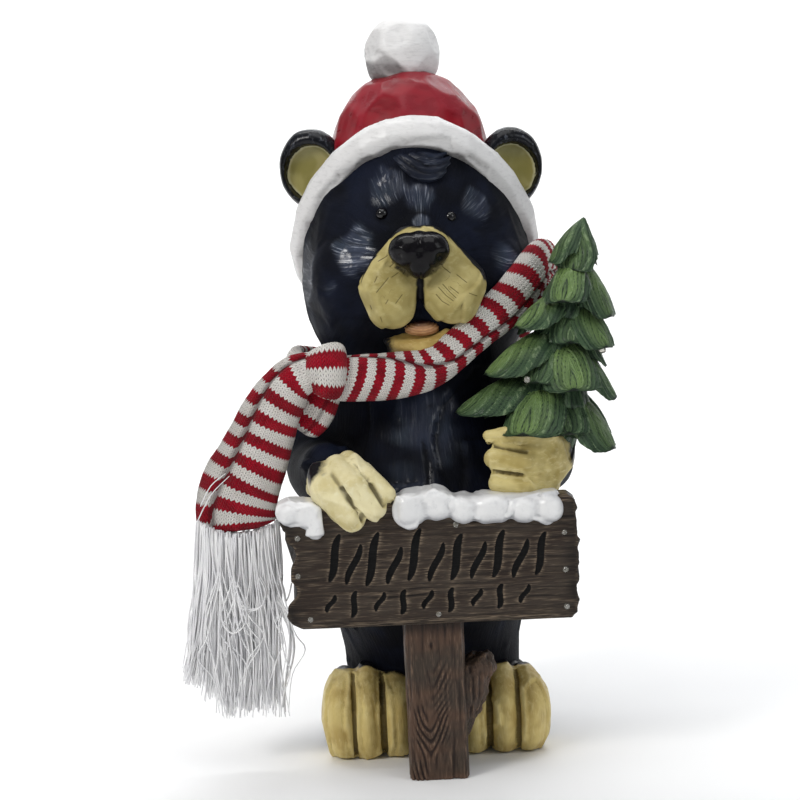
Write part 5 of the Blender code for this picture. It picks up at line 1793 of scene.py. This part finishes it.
# A flat tube of knit. widths and thicks are halves, and folds the crease's turn, all at each step
def addTube(bm, plan, frames, widths, thicks, folds):
    places, along, outward, across, gone = frames
    last = len(places) - 1
    band = plan["stripe"]

    def place(u, v):
        index = np.clip(np.round(v * last).astype(int), 0, last)
        turn = u * math.tau
        fromEnd = np.minimum(gone, gone[-1] - gone)[index]
        rounded = np.sqrt(1 - np.clip(1 - fromEnd / plan["cap"], 0, 1) ** 2)
        wide = widths[index] * (0.25 + 0.75 * rounded)
        thick = thicks[index] * rounded
        # the section is a little boxy
        boxed = np.sign(np.cos(turn)) * np.abs(np.cos(turn)) ** 0.85
        fatness = np.sign(np.sin(turn)) * np.abs(np.sin(turn)) ** 0.9
        flat = (places[index] + across[index] * (wide * fatness)[:, None]
                + outward[index] * (thick * boxed)[:, None])
        away = (turn - folds[index] + math.pi) % math.tau - math.pi
        pressed = plan["crease"] * np.exp(-(away / 0.17) ** 2) * rounded
        girth = away / math.pi * (2.55 * widths[index])
        rib = 0.22 * np.cos(girth / scarf["stitch"] * math.tau)
        proud = (plan["wave"] * cloud(flat, (13, 13, 9), plan["seed"]) + rib) * rounded - pressed
        points = (places[index] + outward[index] * ((thick + proud) * boxed)[:, None]
                  + across[index] * ((wide + proud * 0.6) * fatness)[:, None])
        run = gone[index]
        if "stretch" in plan:
            # the stripes lean and bulge where the band leaves the knot
            lean = rise(-run, -110, -25)
            run = np.interp(run, *plan["stretch"]) - wide * (0.35 * lean * fatness - 0.25 * fatness ** 2)
        sides = rise(away, -0.06, 0.06) * rise(math.pi - away, 0.0, 0.3)
        run = run + plan["start"] + plan["offset"] * band * sides
        # painted shade along the crease
        creaseShade = np.exp(-(away / 0.16) ** 2) * min(plan["crease"] / 2, 1)
        return points, {"across": girth, "along": run / band * scarf["stripe"], "creaseShade": creaseShade}

    bentGrid(bm, plan["columns"], last, place)


# along a route: its places, its direction, the way out of the cloth, the way across it and the distance
def clothFrames(places, facing):
    along = np.gradient(places, axis=0)
    along /= np.linalg.norm(along, axis=1)[:, None]
    outward = facing(places)
    outward -= along * (along * outward).sum(axis=1)[:, None]
    outward /= np.linalg.norm(outward, axis=1)[:, None]
    return places, along, outward, np.cross(outward, along), lengthsAlong(places)


def outOfNeck(places):
    x, y = places[:, 0], places[:, 1]
    return np.stack((x, y * 0.9, 0.1 * np.hypot(x, y)), axis=1)


def towardsViewer(places):
    return np.tile((-0.22, -1.0, 0.05), (len(places), 1))


def addWrap(bm):
    frames = clothFrames(np.array(smoothRoute(wrap["route"], wrap["steps"])), outOfNeck)
    gone = frames[-1]
    # nearly even, and narrower where the band turns up beside the chin
    swell = 1.02 + 0.04 * np.sin(gone / gone[-1] * 31) - 0.13 * np.exp(-((gone - 100) / 30) ** 2)
    thicks = np.full(len(gone), wrap["thickness"] / 2)
    addTube(bm, wrap, frames, wrap["width"] / 2 * swell, thicks, np.interp(gone, *wrap["fold"]))


# a tail or the knot, whose knots hold its width and thickness
def addTail(bm, plan):
    rows = np.array(smoothRoute(plan["route"], plan["steps"]))
    frames = clothFrames(rows[:, :3], towardsViewer)
    folds = np.interp(frames[-1] / frames[-1][-1], *plan["fold"])
    widths, thicks = rows[:, 3] * (plan["width"] / 2), rows[:, 4] * (plan["thickness"] / 2)
    addTube(bm, plan, frames, widths, thicks, folds)


# how far a value's fraction is from a half
def fromMiddle(tree, value):
    return reckon(tree, "ABSOLUTE", reckon(tree, "SUBTRACT", reckon(tree, "FRACT", value), 0.5))


def knitLook():
    look, tree, shader = material("striped_knit_wool", 0.9, 0.1)
    shader.inputs["Sheen Weight"].default_value = 0.08
    shader.inputs["Sheen Roughness"].default_value = 0.5
    # each stitch is a V: the course dips from the sides of its column to the middle
    inColumn = fromMiddle(tree, reckon(tree, "DIVIDE", "across", scarf["stitch"]))
    dip = reckon(tree, "MULTIPLY_ADD", inColumn, -3.2, "along")
    inBand = fromMiddle(tree, reckon(tree, "DIVIDE", dip, scarf["stripe"] * 2))
    leg = fromMiddle(tree, reckon(tree, "DIVIDE", dip, scarf["course"] * 0.86))
    seam = reckon(tree, "ABSOLUTE", reckon(tree, "SUBTRACT", inColumn, 0.25))
    height = reckon(tree, "SUBTRACT", between(tree, leg, 0.5, 0.12),
                    between(tree, seam, 0.15, 0.25, 0.0, 0.75))
    fuzz = grains(tree, 1.6, 2.0, 0.7)
    tone = grains(tree, 0.09)
    red = coats(tree, scarf["red"], (tone, 0.35, 0.65, 1, scarf["darkRed"]),
                (height, 0.35, -0.5, 0.7, scarf["deepRed"]))
    # dark shows between the white stitches
    gaps = times(tree, between(tree, height, 0.25, -0.5), between(tree, fuzz, 0.32, 0.5))
    white = coats(tree, scarf["white"], (tone, 0.4, 0.7, 0.5, scarf["cream"]),
                  (gaps, 0.85, scarf["speck"]))
    # painted shade darkens the crease
    colour = coats(tree, white, (inBand, 0.242, 0.258, 1, red),
                   ("creaseShade", 0.15, 1.0, 0.6, scarf["crease"]))
    coatWith(tree, shader, colour, reckon(tree, "MULTIPLY_ADD", fuzz, 0.5, height), 0.9, 0.9)
    return look


def addScarf(look, skins):
    bm = bmesh.new()
    for name in ("across", "along", "creaseShade"):
        bm.verts.layers.float.new(name)
    addWrap(bm)
    for plan in (tail, backTail, knot):
        addTail(bm, plan)
    piece = plainObject(bm, "scarf")
    points = readPoints(piece)
    for skin in skins:
        for index, point in enumerate(points):
            spot = Vector(point) * unit
            hit, normal, face, away = skin.find_nearest(spot, scarf["deepest"] * unit)
            if hit is not None and (spot - hit).dot(normal) < scarf["near"] * unit:
                points[index] = np.array(hit + normal * scarf["off"] * unit) / unit
    writePoints(piece, points)
    finishPiece(piece, look, "striped_knit", "knitted_scarf")
    return piece


woolScarf = addScarf(knitLook(), (headSkin, bodySkin))
print("scarf", len(woolScarf.data.polygons))


# The fringe: loose white strands in bundles, thinner and wilder towards their ends
fringe = {
    # each bundle: x at the hem, x halfway, x and z of its end, spread at the end, number of strands
    "bundles": ((-161, -169, -176, 62, 5, 58), (-156, -163, -169, 60, 5, 52),
                (-150, -156, -160, 50, 7, 46),
                (-144, -150, -150, 38, 7, 44), (-138, -141, -143, 37, 6, 44),
                (-131, -133, -136, 39, 6, 42),
                (-124, -126, -129, 40, 7, 36), (-117, -119, -121, 38, 6, 36),
                (-110, -113, -114, 36, 5, 18)),
    # the curved hem: y, x and z of its lowest place, and how much it rises so far from there
    "hemY": -81, "hemLow": (-134, 169.5), "hemRise": (8, 27),
    "thickness": 0.64, "deep": 5.5, "gather": 0.62, "strayCount": 26, "strayX": (-158, -110),
    # strands that loop back or stand off to the right, each drawn three times
    "loops": (
        ((-138, -93, 138), (-133, -94, 122), (-134, -94, 108), (-143, -93, 101), (-150, -92, 108),
         (-151, -91, 122)),
        ((-121, -92, 142), (-117, -93, 132), (-120, -93, 122), (-128, -92, 118), (-136, -91, 121)),
        ((-109, -86, 134), (-108, -86, 116), (-103, -85, 101), (-103, -85, 84), (-107, -85, 66),
         (-110, -85, 44)),
        ((-110, -85, 128), (-104, -86, 110), (-100, -86, 92), (-102, -86, 76), (-108, -85, 60),
         (-109, -85, 40)),
        ((-108, -85, 140), (-105, -86, 130), (-104, -86, 122), (-101, -87, 128), (-99, -87, 136)),
        ((-109, -86, 124), (-104, -88, 117), (-100, -88, 119)),
    ),
    # a thread that has come away, over the tail: its lower and upper end, twice
    "threads": (((-163, -94, 184), (-138, -101.5, 217)), ((-160, -94, 195), (-140.5, -101.5, 219))),
    "white": srgb(253, 253, 253), "grey": srgb(240, 240, 242), "shade": srgb(215, 215, 222),
}


def hemHeight(x):
    lowX, lowZ = fringe["hemLow"]
    rising, reach = fringe["hemRise"]
    return lowZ + rising * ((x - lowX) / reach) ** 2


def addBundles(strand, hand):
    hemY = fringe["hemY"]
    for rootX, midX, endX, endZ, spread, count in fringe["bundles"]:
        bundleY = hemY + hand.uniform(-1.5, 1.5)
        for index in range(count):
            x0 = rootX + hand.uniform(-3.6, 3.6)
            y0 = hemY + hand.uniform(-fringe["deep"], fringe["deep"])
            z0 = hemHeight(x0) + hand.uniform(1.5, 4)
            endDrop = endZ + abs(hand.gauss(0, 9))
            lean = hand.gauss(0, spread * 0.5)
            x1 = x0 + (midX - rootX) * 0.3 + hand.gauss(0, 1.1)
            x2 = midX + (x0 - rootX) * fringe["gather"] + lean * 0.25 + hand.gauss(0, 1.7)
            x3 = endX + (x0 - rootX) * 0.7 + lean + hand.gauss(0, 1)
            y2 = bundleY + (y0 - bundleY) * 0.7
            y3 = bundleY + (y0 - hemY) * 0.6 + hand.gauss(0, 1.6)
            z1 = z0 - (z0 - endDrop) * 0.3
            z2 = z0 - (z0 - endDrop) * 0.65
            knots = ((x0, y0, z0), (x1, (y0 + y2) / 2, z1), (x2, y2, z2), (x3, y3, endDrop))
            strand(knots, hand.uniform(0.8, 1.2))


# stray strands cross the others, loop back or stand off to the right
def addStrays(strand, hand):
    for index in range(fringe["strayCount"]):
        x0 = hand.uniform(*fringe["strayX"])
        z0 = hemHeight(x0)
        y = fringe["hemY"] - fringe["deep"] - hand.uniform(0.5, 2)
        sway = hand.uniform(-14, 14)
        turnZ = hand.uniform(85, 120)
        strand(((x0, y + 3, z0), (x0 + sway * 0.2, y, z0 - 28), (x0 + sway, y, turnZ),
                (x0 + sway * 1.4 + hand.uniform(-5, 5), y + 1, turnZ - 16),
                (x0 + sway * 0.8, y + 1, turnZ - 34), (x0 + sway * 0.4, y + 2, max(turnZ - 62, 38))), 0.9)
    for knots in fringe["loops"]:
        for _ in range(3):
            shift = hand.uniform(-1.2, 1.2)
            strand([(x + shift, y + shift, z + shift) for x, y, z in knots], 0.85)
    for low, high in fringe["threads"]:
        middle = ((low[0] + high[0]) / 2 - 1.5, (low[1] + high[1]) / 2 - 1.2, (low[2] + high[2]) / 2 + 3)
        strand((low, middle, high), 0.6)


def yarnLook():
    look, tree, shader = material("white_yarn", 0.75, 0.25)
    shader.inputs["Sheen Weight"].default_value = 0.3
    tone = grains(tree, (0.22, 0.22, 0.03))
    twist = grains(tree, (1.2, 1.2, 0.9))
    colour = coats(tree, fringe["white"], (tone, 0.35, 0.65, 1, fringe["grey"]),
                   (twist, 0.42, 0.2, 0.2, fringe["shade"]))
    coatWith(tree, shader, colour, twist, 0.3, 0.6)
    return look


def addFringe(look):
    data = bpy.data.curves.new("fringe_strands", "CURVE")
    data.dimensions = "3D"
    data.bevel_depth = fringe["thickness"] * unit
    data.bevel_resolution = 0
    data.use_fill_caps = True

    def strand(knots, thick):
        route = smoothRoute(knots, 4)
        spline = data.splines.new("POLY")
        spline.points.add(len(route) - 1)
        for index, (x, y, z) in enumerate(route):
            share = index / (len(route) - 1)
            spline.points[index].co = (x * unit, y * unit, z * unit, 1)
            spline.points[index].radius = thick * (1.15 - 0.6 * share ** 2)

    hand = random.Random(5)
    addBundles(strand, hand)
    addStrays(strand, hand)
    curve = bpy.data.objects.new("fringe_strands", data)
    scene.collection.objects.link(curve)
    mesh = bpy.data.meshes.new_from_object(curve.evaluated_get(bpy.context.evaluated_depsgraph_get()))
    bpy.data.objects.remove(curve)
    piece = bpy.data.objects.new("fringe", mesh)
    scene.collection.objects.link(piece)
    mesh.shade_smooth()
    finishPiece(piece, look, "white_yarn", "scarf_fringe")
    return piece


looseFringe = addFringe(yarnLook())
print("fringe", len(looseFringe.data.polygons))
